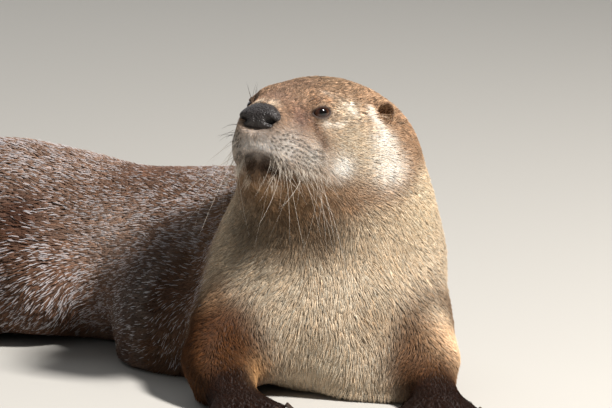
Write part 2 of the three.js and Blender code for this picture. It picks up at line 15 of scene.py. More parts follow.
import bmesh
import bpy
import numpy as np
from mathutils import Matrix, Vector
from mathutils.kdtree import KDTree

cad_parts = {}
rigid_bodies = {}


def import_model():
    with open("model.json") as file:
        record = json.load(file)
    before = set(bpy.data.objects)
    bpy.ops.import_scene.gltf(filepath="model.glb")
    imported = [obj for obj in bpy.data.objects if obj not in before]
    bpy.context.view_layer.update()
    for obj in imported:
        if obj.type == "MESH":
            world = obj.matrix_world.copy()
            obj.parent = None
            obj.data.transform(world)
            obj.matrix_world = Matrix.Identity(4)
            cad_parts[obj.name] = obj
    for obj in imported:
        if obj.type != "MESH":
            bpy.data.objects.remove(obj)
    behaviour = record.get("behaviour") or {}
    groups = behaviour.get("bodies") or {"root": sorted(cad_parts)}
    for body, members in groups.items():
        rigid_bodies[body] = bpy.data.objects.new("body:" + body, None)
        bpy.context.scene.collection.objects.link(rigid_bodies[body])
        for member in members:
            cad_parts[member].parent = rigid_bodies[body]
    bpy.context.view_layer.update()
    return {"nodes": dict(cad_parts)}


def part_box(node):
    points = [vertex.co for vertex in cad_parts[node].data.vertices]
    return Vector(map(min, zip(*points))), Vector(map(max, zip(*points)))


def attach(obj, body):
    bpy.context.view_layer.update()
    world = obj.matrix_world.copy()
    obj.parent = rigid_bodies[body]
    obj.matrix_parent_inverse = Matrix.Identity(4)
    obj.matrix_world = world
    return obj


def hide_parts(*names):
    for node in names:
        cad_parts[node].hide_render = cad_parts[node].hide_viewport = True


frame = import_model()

MM = 0.001

# %% [markdown]
# ## Axes of the head
#
# The eyes and the nose of the form say where the head is and how it is turned. Everything on the face is
# then placed in millimetres forward, to the animal's left and up, as a modeller measures a skull. The
# turn could be typed in as angles, but axes read from the form stay right if the form's head is moved.

# %% Head axes
EYE_AHEAD, EYE_OUT, EYE_UP = 23.6, 26.2, 6.6
NOSE_AHEAD, NOSE_UP = 60.8, -6.0
NOSE_PLACE = np.array([NOSE_AHEAD, 0, NOSE_UP])
# Least length or angle that is divided by.
SMALLEST, LEAST_ANGLE = 1e-12, 1e-3


def middle(node):
    """The centre of a form node's box."""
    low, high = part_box(node)
    return np.array((low + high) / 2)


def unit(vectors):
    """Vectors, one to a row or a single one, at length one."""
    vectors = np.asarray(vectors, float)
    return vectors / np.maximum(np.linalg.norm(vectors, axis=-1, keepdims=True), SMALLEST)


def head_axes():
    """The head's forward, left and up directions, as rows, and its origin."""
    left = unit(middle("eye_left") - middle("eye_right"))
    between_eyes = (middle("eye_left") + middle("eye_right")) / 2
    towards_nose = unit(middle("nose") - between_eyes)
    above = unit(np.cross(towards_nose, left))
    drop = math.atan2(EYE_UP - NOSE_UP, NOSE_AHEAD - EYE_AHEAD)
    forward = math.cos(drop) * towards_nose + math.sin(drop) * above
    up = np.cross(forward, left)
    origin = between_eyes - (EYE_AHEAD * forward + EYE_UP * up) * MM
    return np.array([forward, left, up]), origin


HEAD_AXES, HEAD_ORIGIN = head_axes()


def on_head(places):
    """Places given in head millimetres, moved to the frame in metres."""
    return HEAD_ORIGIN + np.asarray(places, float) * MM @ HEAD_AXES


def in_head(points):
    """Points of the frame, as head millimetres."""
    return (np.asarray(points) - HEAD_ORIGIN) @ HEAD_AXES.T / MM


print("head origin, mm:", np.round(HEAD_ORIGIN / MM, 1), "forward:", np.round(HEAD_AXES[0], 3))

# %% [markdown]
# ## Camera, light and floor
#
# A long lens far away keeps the animal's proportions, as when one is watched across a river. One soft box
# comes from high on the animal's left and models the form, as a clear morning's sun would. A weak wide one
# fills the other side, one behind lifts the back off the ground, and the pale floor returns some of all
# three. A single lamp would be harder, and a bright sky alone would leave the face flat.

# %% Camera
LENS, SENSOR_WIDTH = 212.4, 36.0
CAMERA_DISTANCE, CAMERA_RAISED = 2.5994, math.radians(10)
AIM_FROM_HEAD = np.array([1.8, 0.0, -60.0]) * MM

camera_data = bpy.data.cameras.new("camera")
camera_data.lens = LENS
camera_data.sensor_width = SENSOR_WIDTH
camera = bpy.data.objects.new("camera", camera_data)
bpy.context.collection.objects.link(camera)
aim = Vector(HEAD_ORIGIN + AIM_FROM_HEAD)
back = Vector((0, -math.cos(CAMERA_RAISED), math.sin(CAMERA_RAISED)))
camera.location = aim + back * CAMERA_DISTANCE
camera.rotation_euler = (-back).to_track_quat("-Z", "Y").to_euler()
camera_data.clip_end = 100
bpy.context.scene.camera = camera
print("camera, mm:", [round(v / MM) for v in camera.location], "aimed at", [round(v / MM) for v in aim])

# %% Lights
def soft_light(name, azimuth, elevation, distance, size, power, tint):
    """A square soft box that faces the head. Azimuth 0 is the camera's side, and 90 is its right."""
    data = bpy.data.lights.new(name, "AREA")
    data.shape = "SQUARE"
    data.size = size
    data.energy = power
    data.color = tint
    light = bpy.data.objects.new(name, data)
    bpy.context.collection.objects.link(light)
    a, e = math.radians(azimuth), math.radians(elevation)
    out = Vector((math.sin(a) * math.cos(e), -math.cos(a) * math.cos(e), math.sin(e)))
    light.location = aim + out * distance
    light.rotation_euler = (-out).to_track_quat("-Z", "Y").to_euler()


# Azimuth and elevation in degrees, distance and size in metres, power in watts, and tint.
soft_light("key", 52, 46, 3.2, 0.4, 228, (1.0, 0.97, 0.935))
soft_light("fill", -40, 30, 3.2, 2.4, 3.5, (0.88, 0.94, 1.0))
soft_light("back fill", 205, 40, 3.4, 3.2, 30, (0.96, 0.98, 1.0))
world = bpy.data.worlds.new("studio")
world.use_nodes = True
surround = world.node_tree.nodes["Background"]
surround.inputs["Color"].default_value = (0.86, 0.87, 0.88, 1)
surround.inputs["Strength"].default_value = 0.12
bpy.context.scene.world = world
bpy.context.scene.view_settings.view_transform = "Standard"
print("soft boxes:", len(bpy.data.lights))

# %% Floor
def new_material(name):
    """A material with its node tree and its Principled shader."""
    material = bpy.data.materials.new(name)
    material.use_nodes = True
    return material, material.node_tree, material.node_tree.nodes["Principled BSDF"]


def linear(code):
    """A hex colour in sRGB, such as a58a72, as linear red, green and blue."""
    parts = np.array([int(code[i : i + 2], 16) / 255 for i in (0, 2, 4)])
    return np.where(parts <= 0.04045, parts / 12.92, ((parts + 0.055) / 1.055) ** 2.4)


FLOOR_HALF = 20.0
floor_mesh = bpy.data.meshes.new("floor")
floor_corners = [(x * FLOOR_HALF, y * FLOOR_HALF, 0) for x, y in ((-1, -1), (1, -1), (1, 1), (-1, 1))]
floor_mesh.from_pydata(floor_corners, [], [(0, 1, 2, 3)])
floor = bpy.data.objects.new("floor", floor_mesh)
bpy.context.collection.objects.link(floor)
# Matt emulsion on board scatters light evenly, so the floor shows soft shadows and almost no gloss.
floor_paint, _, shader = new_material("pale matt floor paint")
shader.inputs["Base Color"].default_value = (*linear("bdbab4"), 1)
shader.inputs["Roughness"].default_value = 0.9
shader.inputs["Specular IOR Level"].default_value = 0.12
floor_mesh.materials.append(floor_paint)
print("floor:", 2 * FLOOR_HALF, "m square")

# %% [markdown]
# ## Skin over the form
#
# The form is in parts that stop a fraction of a millimetre apart, and each part is flat-sided. A
# subdivision surface would round each part but keep the cuts between them. A voxel remesh of a merged
# copy closes the cuts and gives even quads, and moving every corner towards the middle of its neighbours
# melts the facets. The broad trunk takes many rounds of that, and the toes almost none. Then the skin is
# drawn in by the depth of the coat, which is deep on the trunk and thin on the face and the feet.

# %% The coat's measures for each part
SIDES = ("left", "right")
TRUNK = ["head", "neck", "chest", "belly", "rump", "tail_base", "tail_middle", "tail_tip"]
LEGS = [f"{leg}_{side}" for leg in ("foreleg", "hindleg") for side in SIDES]
FEET = [f"{foot}_{side}" for foot in ("forepaw", "hindfoot") for side in SIDES]
FLESH = TRUNK + LEGS + FEET

# Share of the smoothing, depth of the coat, length and width of a lock in mm, locks per square mm.
COAT_MEASURES = ("smoothing", "depth", "length", "width", "density")
COAT = {
    "head": (0.35, 1.8, 6.0, 0.56, 1.38),
    "neck": (0.7, 3.4, 7.0, 0.55, 1.25),
    "chest": (1.0, 4.0, 8.0, 0.62, 0.93),
    "belly": (1.0, 4.2, 6.2, 0.95, 0.74),
    "rump": (1.0, 4.2, 7.8, 1.2, 0.4),
    "tail_base": (1.0, 3.6, 10.5, 1.5, 0.25),
    "tail_middle": (0.8, 2.6, 10.0, 1.4, 0.26),
    "tail_tip": (0.7, 2.2, 9.0, 1.3, 0.3),
    "foreleg": (0.5, 2.6, 5.5, 0.7, 0.8),
    "hindleg": (0.6, 3.0, 8.0, 1.2, 0.34),
    "forepaw": (0.05, 0.7, 2.8, 0.36, 1.8),
    "hindfoot": (0.05, 0.7, 3.2, 0.5, 1.0),
}


def measures(part):
    """The coat's measures for a part, the same on both sides of the body."""
    return COAT.get(part) or COAT[part.rsplit("_", 1)[0]]


print("parts under the skin:", len(FLESH))

# %% Close the form into one skin
VOXEL, SAME_PLACE = 3.6 * MM, 0.001 * MM


def new_object(name, mesh):
    """A mesh object in the scene, at the origin."""
    made = bpy.data.objects.new(name, mesh)
    bpy.context.collection.objects.link(made)
    return made


def closed_over(nodes, voxel):
    """An even mesh of quads round several form nodes, with the cuts between them closed."""
    joined = bmesh.new()
    for name in nodes:
        joined.from_mesh(frame["nodes"][name].data)
    bmesh.ops.remove_doubles(joined, verts=joined.verts, dist=SAME_PLACE)
    merged = bpy.data.meshes.new("merged form")
    joined.to_mesh(merged)
    joined.free()
    holder = new_object("holder", merged)
    remesh = holder.modifiers.new("close", "REMESH")
    remesh.mode = "VOXEL"
    remesh.voxel_size = voxel
    graph = bpy.context.evaluated_depsgraph_get()
    closed = bpy.data.meshes.new_from_object(holder.evaluated_get(graph))
    bpy.data.objects.remove(holder)
    return closed


# The eyeballs and the nose fill their hollows here, so that the skin runs on over them.
skin_mesh = closed_over([*FLESH, "eye_left", "eye_right", "nose"], VOXEL)
print("skin quads:", len(skin_mesh.polygons))

# %% Helpers that read and smooth a mesh
def ramp(values, start, end):
    """A smooth step from 0 at the start to 1 at the end."""
    share = ((np.asarray(values, float) - start) / (end - start)).clip(0, 1)
    return share * share * (3 - 2 * share)


def read(collection, name, width, kind=np.float32):
    """A property of every corner, edge or face of a mesh, as an array."""
    values = np.empty(len(collection) * width, kind)
    collection.foreach_get(name, values)
    return values.reshape(-1, width) if width > 1 else values


def corners_of(mesh):
    """The corners of a mesh, one to a row."""
    return read(mesh.vertices, "co", 3).astype(float)


def normals_of(mesh):
    """The outward direction at each corner of a mesh."""
    return read(mesh.vertex_normals, "vector", 3).astype(float)


def move_corners(mesh, points):
    """Puts the corners of a mesh at new points."""
    mesh.vertices.foreach_set("co", np.asarray(points, np.float32).ravel())
    mesh.update()


def smoothed(values, edges, rounds, step=0.5):
    """Values of the corners, each moved part of the way to its neighbours' mean, round after round."""
    values = np.array(values, float)
    ends = np.concatenate([edges, edges[:, ::-1]])
    count = np.bincount(ends[:, 0], minlength=len(values))[:, None]
    for _ in range(rounds):
        near = np.column_stack(
            [np.bincount(ends[:, 0], column[ends[:, 1]], len(values)) for column in values.T]
        )
        values += step * (near / count - values)
    return values


# %% Share of each part, melted across the joints
def nearest_parts(points, parts):
    """The part that each point is nearest to, by number."""
    samples, owners = [], []
    for number, part in enumerate(parts):
        mesh = frame["nodes"][part].data
        places = np.concatenate([corners_of(mesh), read(mesh.polygons, "center", 3)])
        samples.append(places)
        owners.append(np.full(len(places), number))
    samples, owners = np.concatenate(samples), np.concatenate(owners)
    tree = KDTree(len(samples))
    for index, place in enumerate(samples):
        tree.insert(place, index)
    tree.balance()
    return owners[[tree.find(point)[1] for point in points]]


BLEND_ROUNDS, MELT_ROUNDS = 40, 26
# Where the skin faces the floor and lies close to it, the coat is pressed thin.
FLOOR_PRESS, FACING_DOWN, FLOOR_BAND = 0.85, (0.2, 0.7), (4 * MM, 14 * MM)
points = corners_of(skin_mesh)
edges = read(skin_mesh.edges, "vertices", 2, np.int32)
shares = np.eye(len(FLESH))[nearest_parts(points, FLESH)]
shares = smoothed(shares, edges, BLEND_ROUNDS)
coat = dict(zip(COAT_MEASURES, (shares @ np.array([measures(p) for p in FLESH])).T))
points = smoothed(points, edges, MELT_ROUNDS, 0.5 * coat["smoothing"][:, None])
move_corners(skin_mesh, points)
normals = normals_of(skin_mesh)
pressed_thin = ramp(-normals[:, 2], *FACING_DOWN) * (1 - ramp(points[:, 2], *FLOOR_BAND))
coat_depth = coat["depth"] * (1 - FLOOR_PRESS * pressed_thin)
move_corners(skin_mesh, points - normals * coat_depth[:, None] * MM)
for part in FLESH:
    print(part, "skin corners:", int(shares[:, FLESH.index(part)].sum()))

# %% [markdown]
# ## Unwrap, and measures kept on the mesh
#
# A map of the skin's own shape gives each lock of the coat a place to keep its colour. The skin is
# unwrapped while it is still coarse, which is quick, because a split edge passes its map on to the new
# corners. The measures of the coat are kept on the mesh as attributes for the same reason. Marked seams
# would give fewer islands, but nothing is painted by hand here, so a cut by angle does.

# %% Unwrap the skin
UNWRAP_ANGLE, ISLAND_MARGIN = math.radians(66), 0.002


def unwrapped(name, mesh):
    """An object for a mesh, with a map made from the mesh's own shape."""
    mesh.uv_layers.new(name="OFBake")
    made = new_object(name, mesh)
    bpy.context.view_layer.objects.active = made
    made.select_set(True)
    bpy.ops.object.mode_set(mode="EDIT")
    bpy.ops.mesh.select_all(action="SELECT")
    bpy.ops.uv.smart_project(angle_limit=UNWRAP_ANGLE, island_margin=ISLAND_MARGIN)
    bpy.ops.object.mode_set(mode="OBJECT")
    made.select_set(False)
    return made


def keep(mesh, name, values):
    """Stores a number or a vector for each corner."""
    kind, slot = ("FLOAT", "value") if np.ndim(values) == 1 else ("FLOAT_VECTOR", "vector")
    layer = mesh.attributes.get(name) or mesh.attributes.new(name, kind, "POINT")
    layer.data.foreach_set(slot, np.asarray(values, np.float32).ravel())


def kept(mesh, name):
    """Reads what was stored for each corner."""
    layer = mesh.attributes[name]
    width, slot = (1, "value") if layer.data_type == "FLOAT" else (3, "vector")
    return read(layer.data, slot, width).astype(float)


skin = unwrapped("skin", skin_mesh)
skin_mesh = skin.data
for name, values in coat.items():
    keep(skin_mesh, name, values)
print("kept on the skin:", list(coat))

# %% [markdown]
# ## Which way the hair lies
#
# Hair on an otter points away from the nose, over the head, down the throat and the legs, and along the
# trunk to the tip of the tail. It could be combed by hand in Blender's hair tools. Here each part gets
# its own direction, the directions are blended by the same shares as the other measures, and they are
# pressed flat to the skin once the face has its shape, so the whole lie comes from sixteen arrows.

# %% Directions of the lie
def towards(start, *through):
    """The direction from one form node to another, or through several in turn."""
    places = [middle(node) for node in (start, *through)]
    return unit(places[-1] - places[0])


def toes_of(foot):
    """The direction from the middle of a foot to the mean of its claws."""
    claws = [middle(f"{foot}_claw_{number}") for number in range(1, 6)]
    return unit(np.mean(claws, axis=0) - middle(foot))


DOWN_AND_BACK = unit([0.0, 0.75, -0.75])
LIE = {
    "head": -HEAD_AXES[0],
    "neck": unit([0.1, 0.9, -0.75]),
    "chest": DOWN_AND_BACK,
    "belly": unit(towards("chest", "rump") + [0, 0, -0.3]),
    "rump": unit(towards("belly", "tail_base") + [0, 0, -0.1]),
    "tail_base": towards("rump", "tail_middle"),
    "tail_middle": towards("tail_base", "tail_tip"),
    "tail_tip": towards("tail_middle", "tail_tip"),
}
for side in SIDES:
    LIE[f"foreleg_{side}"] = unit([0.0, 0.35, -1.0])
    LIE[f"hindleg_{side}"] = unit(towards("belly", "rump") + [0, 0, -0.8])
    for foot in ("forepaw", "hindfoot"):
        LIE[f"{foot}_{side}"] = toes_of(f"{foot}_{side}")
keep(skin_mesh, "lie", shares @ np.array([LIE[part] for part in FLESH]))
keep(skin_mesh, "of_head", shares[:, FLESH.index("head")])
keep(skin_mesh, "of_feet", shares[:, [FLESH.index(foot) for foot in FEET]].sum(1))
print("toes of the left forepaw point along", np.round(LIE["forepaw_left"], 2))

# %% [markdown]
# ## Face
#
# A sculptor blocks in the sockets first and cuts the lids and the lips last. The skin is split finer in
# the same order: the head and the feet once, the eyes and the lips again, and the edges of the lids and
# the lips a third time. The lids lie on the eyeball, so each corner near an eye is set at the ball's
# radius plus the lid's own thickness, and inside the almond-shaped opening it is put behind the ball.
# Lids could also be loose rims laid on the ball, but then a seam would show where they meet the fur.

# %% Eyes and lids
EYE_RADIUS = 7.2
GAZE = unit([0.69, 0.71, 0.08])
# Half width of the almond, and its height above and below the middle, in mm.
LID_OPENING = (7.2, 3.2, 3.9)
LID_TILT = math.radians(13)
LID_THICKNESS, LID_EDGE, LID_ROUNDING, BEHIND_BALL = 1.0, 0.3, 0.5, 2.0
LID_WIDTH, LID_REACH, SOCKET_REACH = 2.0, 4.6, 5.0
EYE_DEPTH, EYE_DROP = 0.6, 1.6
CORNER_SHARPNESS, BALL_FRONT = 1.75, -3


def eye_frame(side):
    """Centre of an eye in head millimetres, its gaze, its direction to the inner corner, and its up."""
    mirror = np.array([1, side, 1])
    gaze = GAZE * mirror
    up = unit(np.array([0, 0, 1]) - gaze[2] * gaze)
    inward = unit(np.cross(gaze, up)) * side
    turn, lift = math.cos(LID_TILT), math.sin(LID_TILT)
    centre = np.array([EYE_AHEAD, EYE_OUT * side, EYE_UP - EYE_DROP]) - EYE_DEPTH * gaze
    return centre, gaze, inward * turn - up * lift, up * turn + inward * lift


def lid_opening(places, side):
    """How far each place is outside the lids, in mm along the ball, with less than 0 inside them."""
    centre, gaze, inward, up = eye_frame(side)
    way = unit(places - centre)
    off_gaze = np.arccos((way @ gaze).clip(-1, 1))
    arc = EYE_RADIUS * off_gaze / np.maximum(np.sin(off_gaze), LEAST_ANGLE)
    along, height = arc * (way @ inward), arc * (way @ up)
    half_width, upper, lower = LID_OPENING
    half_height = np.where(height > 0, upper, lower)
    power = CORNER_SHARPNESS
    level = (np.abs(along / half_width) ** power + np.abs(height / half_height) ** power) ** (1 / power)
    return np.hypot(along, height) * (1 - 1 / np.maximum(level, LEAST_ANGLE))


def set_lids(places):
    """Head places with the skin round each eye laid over the eyeball."""
    for side in (1, -1):
        centre, gaze, _, _ = eye_frame(side)
        offset = places - centre
        distance = np.linalg.norm(offset, axis=1)
        outside = lid_opening(places, side)
        lid = LID_THICKNESS * (1 - np.exp(-outside.clip(0) / LID_ROUNDING))
        over = np.where(outside > 0, lid, 2 * outside)
        lid_radius = EYE_RADIUS + LID_EDGE + over.clip(-BEHIND_BALL)
        beyond = (distance - lid_radius).clip(0)
        away = 1 - np.exp(-(outside.clip(0) / LID_WIDTH) ** 2)
        share = np.exp(-(outside.clip(0) / LID_REACH) ** 2 - away * (beyond / SOCKET_REACH) ** 2)
        radius = np.maximum(distance + share * (lid_radius - distance), lid_radius)
        radius = np.where(outside < 0, lid_radius, radius)
        radius = np.where(offset @ gaze > BALL_FRONT, radius, distance)
        places = centre + offset / distance[:, None] * radius[:, None]
    return places


# %% Mounds for the lids, and a seat for the nose pad
MOUND_HEIGHT, MOUND_REACH = 3.0, 10.0
MUZZLE_TIP, MUZZLE_CORE = 40, NOSE_PLACE - [30, 0, 4]
MUZZLE_SWELL, RIM_SHAPE, RIM_RADIUS, RIM_REACH = 2.2, (0.6, 1, 1.2), 15, 7
PAD_SINK, PAD_SEAT, SEAT_EDGE = 5.0, (15, 9.5), (0.7, 1.1)


def raise_sockets(places):
    """Head places with a low mound round each eye, and a swollen rim and a seat for the nose pad."""
    for side in (1, -1):
        centre, gaze, _, _ = eye_frame(side)
        distance = np.linalg.norm(places - centre, axis=1)
        places = places + MOUND_HEIGHT * np.exp(-(distance / MOUND_REACH) ** 2)[:, None] * gaze
    on_muzzle = places[:, 0] > MUZZLE_TIP
    from_pad = np.linalg.norm((places - NOSE_PLACE) * RIM_SHAPE, axis=1)
    swell = MUZZLE_SWELL * np.exp(-(((from_pad - RIM_RADIUS) / RIM_REACH) ** 2)) * on_muzzle
    places = places + swell[:, None] * unit(places - MUZZLE_CORE)
    across_pad = np.linalg.norm((places - NOSE_PLACE)[:, 1:] / PAD_SEAT, axis=1)
    sink = PAD_SINK * (1 - ramp(across_pad, *SEAT_EDGE)) * (places[:, 0] > MUZZLE_TIP)
    return places - sink[:, None] * [1, 0, 0]


print("opening of the lids, mm:", 2 * LID_OPENING[0], "by", sum(LID_OPENING[1:]))

# %% Curves of the face
CURVE_STEPS = 48


def mirrored_curve(through, count=CURVE_STEPS):
    """Points along a smooth curve through places on the left of the face, and the same on the right."""
    through = np.array(through, float)
    steps = np.linspace(0, len(through) - 1, count)
    number = np.minimum(steps.astype(int), len(through) - 2)
    share = (steps - number)[:, None]
    padded = np.vstack([2 * through[0] - through[1], through, 2 * through[-1] - through[-2]])
    before, start, end, after = (padded[number + shift] for shift in range(4))
    curve = 0.5 * (
        2 * start
        + (end - before) * share
        + (2 * before - 5 * start + 4 * end - after) * share**2
        + (3 * start - before - 3 * end + after) * share**3
    )
    return np.vstack([curve, curve * [1, -1, 1]])


MOUTH = mirrored_curve([(62, 0, -31), (57, 12, -34), (46, 21, -39), (31, 31, -42), (18, 41, -42)])
TEAR_CREASE = mirrored_curve([(34, 25, 1), (32, 30, -8), (28, 36, -18)])
PHILTRUM = np.linspace([67, 0, -16], [62, 0, -32], 14)


def nearest_on(curve, places):
    """Distance from each place to a curve, and the place's offset from the nearest point of it."""
    offsets = places[:, None, :] - curve[None]
    distances = np.linalg.norm(offsets, axis=2)
    nearest = distances.argmin(1)
    rows = np.arange(len(places))
    return distances[rows, nearest], offsets[rows, nearest]


mouth_steps = np.linalg.norm(np.diff(MOUTH[:CURVE_STEPS], axis=0), axis=1)
print("mouth line, mm:", round(float(mouth_steps.sum()), 1), "a side")

# %% Helpers that split and reshape the head
def split_finer(mesh, chosen):
    """Splits every edge between two chosen corners in half, and every quad of such edges in four."""
    work = bmesh.new()
    work.from_mesh(mesh)
    work.verts.ensure_lookup_table()
    inside = [edge for edge in work.edges if all(chosen[corner.index] for corner in edge.verts)]
    bmesh.ops.subdivide_edges(work, edges=inside, cuts=1, use_grid_fill=True)
    work.to_mesh(mesh)
    work.free()


def melt(mesh, chosen, rounds):
    """Rounds off the chosen corners after a split."""
    step = 0.5 * np.asarray(chosen, float)[:, None]
    points = smoothed(corners_of(mesh), read(mesh.edges, "vertices", 2, np.int32), rounds, step)
    move_corners(mesh, points)


def eye_distance(places):
    """Distance to the nearer eye's centre, in mm."""
    return np.min([np.linalg.norm(places - eye_frame(side)[0], axis=1) for side in (1, -1)], axis=0)


def outside_lids(places):
    """How far each place is outside the nearer eye's opening and off its lids, in mm."""
    off_lids = (eye_distance(places) - EYE_RADIUS - LID_THICKNESS).clip(0)
    return np.min([lid_opening(places, side) for side in (1, -1)], axis=0) + off_lids


FACE_MIDDLE, FACE_REACH, FAR = (30, 0, -10), 80, 99.0


def near_face(places):
    """True for each head place that lies on the face or close to it."""
    return np.linalg.norm(places - FACE_MIDDLE, axis=1) < FACE_REACH


def face_distance(curve, places):
    """Distance from each place to a curve, in mm, measured only near the face."""
    near = near_face(places)
    distance = np.full(len(places), FAR)
    distance[near] = nearest_on(curve, places[near])[0]
    return distance


def close_to(curve, places, reach):
    """True for each place within a reach of a curve, in mm."""
    return face_distance(curve, places) < reach


def reshape_head(mesh, shape, near):
    """Moves the chosen corners by a function of their places in head millimetres."""
    places = in_head(corners_of(mesh))
    places[near] = shape(places[near])
    move_corners(mesh, on_head(places))


def lay_lids(mesh):
    """Lays the skin round each eye over its ball."""
    reshape_head(mesh, set_lids, eye_distance(in_head(corners_of(mesh))) < 3 * EYE_RADIUS)


# %% Block in the face
# Reaches in mm within which the skin is split a second and a third time.
EYE_REGION, MOUTH_REGION, PHILTRUM_REGION = 17, 11, 9
LID_REGION, LIP_REGION = 11.5, 2.6
# Share of a part from which a corner is taken to lie on it, or partly on it.
MOSTLY, PARTLY = 0.4, 0.3

reshape_head(skin_mesh, raise_sockets, kept(skin_mesh, "of_head") > PARTLY)
split_finer(skin_mesh, (kept(skin_mesh, "of_head") > MOSTLY) | (kept(skin_mesh, "of_feet") > MOSTLY))
melt(skin_mesh, kept(skin_mesh, "of_head") > MOSTLY, 2)
lay_lids(skin_mesh)
places = in_head(corners_of(skin_mesh))
face = close_to(MOUTH, places, MOUTH_REGION) | close_to(PHILTRUM, places, PHILTRUM_REGION)
split_finer(skin_mesh, face | (eye_distance(places) < EYE_REGION))
melt(skin_mesh, close_to(MOUTH, in_head(corners_of(skin_mesh)), MOUTH_REGION), 2)
lay_lids(skin_mesh)
places = in_head(corners_of(skin_mesh))
split_finer(skin_mesh, (eye_distance(places) < LID_REGION) | close_to(MOUTH, places, LIP_REGION))
lay_lids(skin_mesh)
print("skin faces after splitting:", len(skin_mesh.polygons))

# %% Cut the lips, the creases and the philtrum
LIP_DEPTH, LIP_WIDTH = 3.0, 1.3
LIP_ROLL, CHIN_RECESS, LIP_REACH, LIP_BAND = 2.0, 3.4, 5.0, 10
MOUTH_FADE = (15, 34)
# Curve, depth and half width of each crease, in mm.
CREASES = ((TEAR_CREASE, 1.4, 2.0), (PHILTRUM, 0.6, 1.1))


def carve_face(places, normals):
    """Face places with the lips parted by a groove, the upper lip rolled out and the lower one tucked in."""
    distance, offset = nearest_on(MOUTH, places)
    below = -offset[:, 2]
    towards_front = ramp(places[:, 0], *MOUTH_FADE)
    push = -LIP_DEPTH * np.exp(-(distance / LIP_WIDTH) ** 2)
    near = np.exp(-(distance / LIP_BAND) ** 4)
    push += LIP_ROLL * near * np.exp(-(((below + LIP_REACH) / LIP_REACH) ** 2))
    push -= CHIN_RECESS * near * np.exp(-(((below - LIP_REACH) / LIP_REACH) ** 2))
    push *= towards_front
    for curve, depth, width in CREASES:
        push -= depth * np.exp(-(nearest_on(curve, places)[0] / width) ** 2)
    return places + normals * push[:, None]


CARVED = ((MOUTH, 14), (TEAR_CREASE, 6), (PHILTRUM, 5))
CLEAR_OF_LIDS = 1.2
places = in_head(corners_of(skin_mesh))
lips = np.any([close_to(curve, places, reach) for curve, reach in CARVED], axis=0)
lips &= outside_lids(places) > CLEAR_OF_LIDS
places[lips] = carve_face(places[lips], (normals_of(skin_mesh) @ HEAD_AXES.T)[lips])
move_corners(skin_mesh, on_head(places))
skin_mesh.polygons.foreach_set("use_smooth", np.ones(len(skin_mesh.polygons), bool))
print("lips and creases moved", int(lips.sum()), "corners")

# %% [markdown]
# ## Toes
#
# An otter's five toes are joined by a web almost to their tips. The toes of the form are set so close
# that the remesh runs them together. Smaller voxels would part them again, at many times the cost, so a
# gap is pressed down between each two claws instead, and the web between them is set back.

# %% Gaps between the toes
TOE_GAP_DEPTH, TOE_GAP_WIDTH, WEB_SETBACK = 4.4, 2.0, 5.0
# Shares of the way from the claws to the middle of the foot over which a gap and a web fade.
GAP_FADE, WEB_FADE = (0.3, 0.9), (0, 0.4)
GAP_AHEAD, FOOT_HEIGHT, TOP_FACING = -15, 25, (0, 0.6)
FLOOR_CLEARANCE = 0.2 * MM


def part_toes(places, normals, foot):
    """Places in mm with a hollow drawn down between each two toes, and the web between them set back."""
    claws = np.array([middle(f"{foot}_claw_{number}") for number in range(1, 6)]) / MM
    level = np.array([1, 1, 0])
    for tip in (claws[1:] + claws[:-1]) / 2:
        back = (middle(foot) / MM - tip) * level
        reach = np.linalg.norm(back)
        back = back / reach
        offset = (places - tip) * level
        along = offset @ back
        aside = np.linalg.norm(offset - along[:, None] * back, axis=1)
        gap = np.exp(-((aside / TOE_GAP_WIDTH) ** 2)) * (1 - ramp(along / reach, *GAP_FADE))
        gap *= (along > GAP_AHEAD) & (places[:, 2] < FOOT_HEIGHT)
        set_back = WEB_SETBACK * gap * (1 - ramp(along / reach, *WEB_FADE))
        places = places + set_back[:, None] * back
        places = places - (TOE_GAP_DEPTH * gap * ramp(normals[:, 2], *TOP_FACING))[:, None] * [0, 0, 1]
    return places


points, normals = corners_of(skin_mesh), normals_of(skin_mesh)
feet = kept(skin_mesh, "of_feet") > PARTLY
for foot in FEET:
    points[feet] = part_toes(points[feet] / MM, normals[feet], foot) * MM
points[:, 2] = points[:, 2].clip(FLOOR_CLEARANCE)
move_corners(skin_mesh, points)
print("toes parted on", len(FEET), "feet, over", int(feet.sum()), "corners")

# %% [markdown]
# ## Eyes
#
# A glass eye is a dark brown iris under a clear bulge that is always wet. It could be two shells, a
# painted one inside a clear one, but the eye is small and nearly black, so one closed ball with a slight
# bulge over the iris is enough. The distance from the pupil's centre is kept on its corners, so the iris
# is coloured by rings that are true to the ball, and a clear coat gives the wet highlight.

# %% Small shapes
def sheet_faces(rows, columns):
    """Quads of a grid of corners in rows that run round and close."""
    row, column = np.meshgrid(np.arange(rows - 1), np.arange(columns), indexing="ij")
    after = (column + 1) % columns
    here, ahead = row * columns, (row + 1) * columns
    return np.stack([here + column, here + after, ahead + after, ahead + column], -1).reshape(-1, 4)


def capped_faces(rows, columns):
    """Faces of closed rings of corners with a pole at each end, whose corners come after the rings."""
    column = np.arange(columns)
    after = (column + 1) % columns
    poles = np.full((2, columns), [[rows * columns], [rows * columns + 1]])
    last = (rows - 1) * columns
    first_cap = np.stack([poles[0], after, column], -1)
    last_cap = np.stack([poles[1], last + column, last + after], -1)
    return [sheet_faces(rows, columns), first_cap, last_cap]


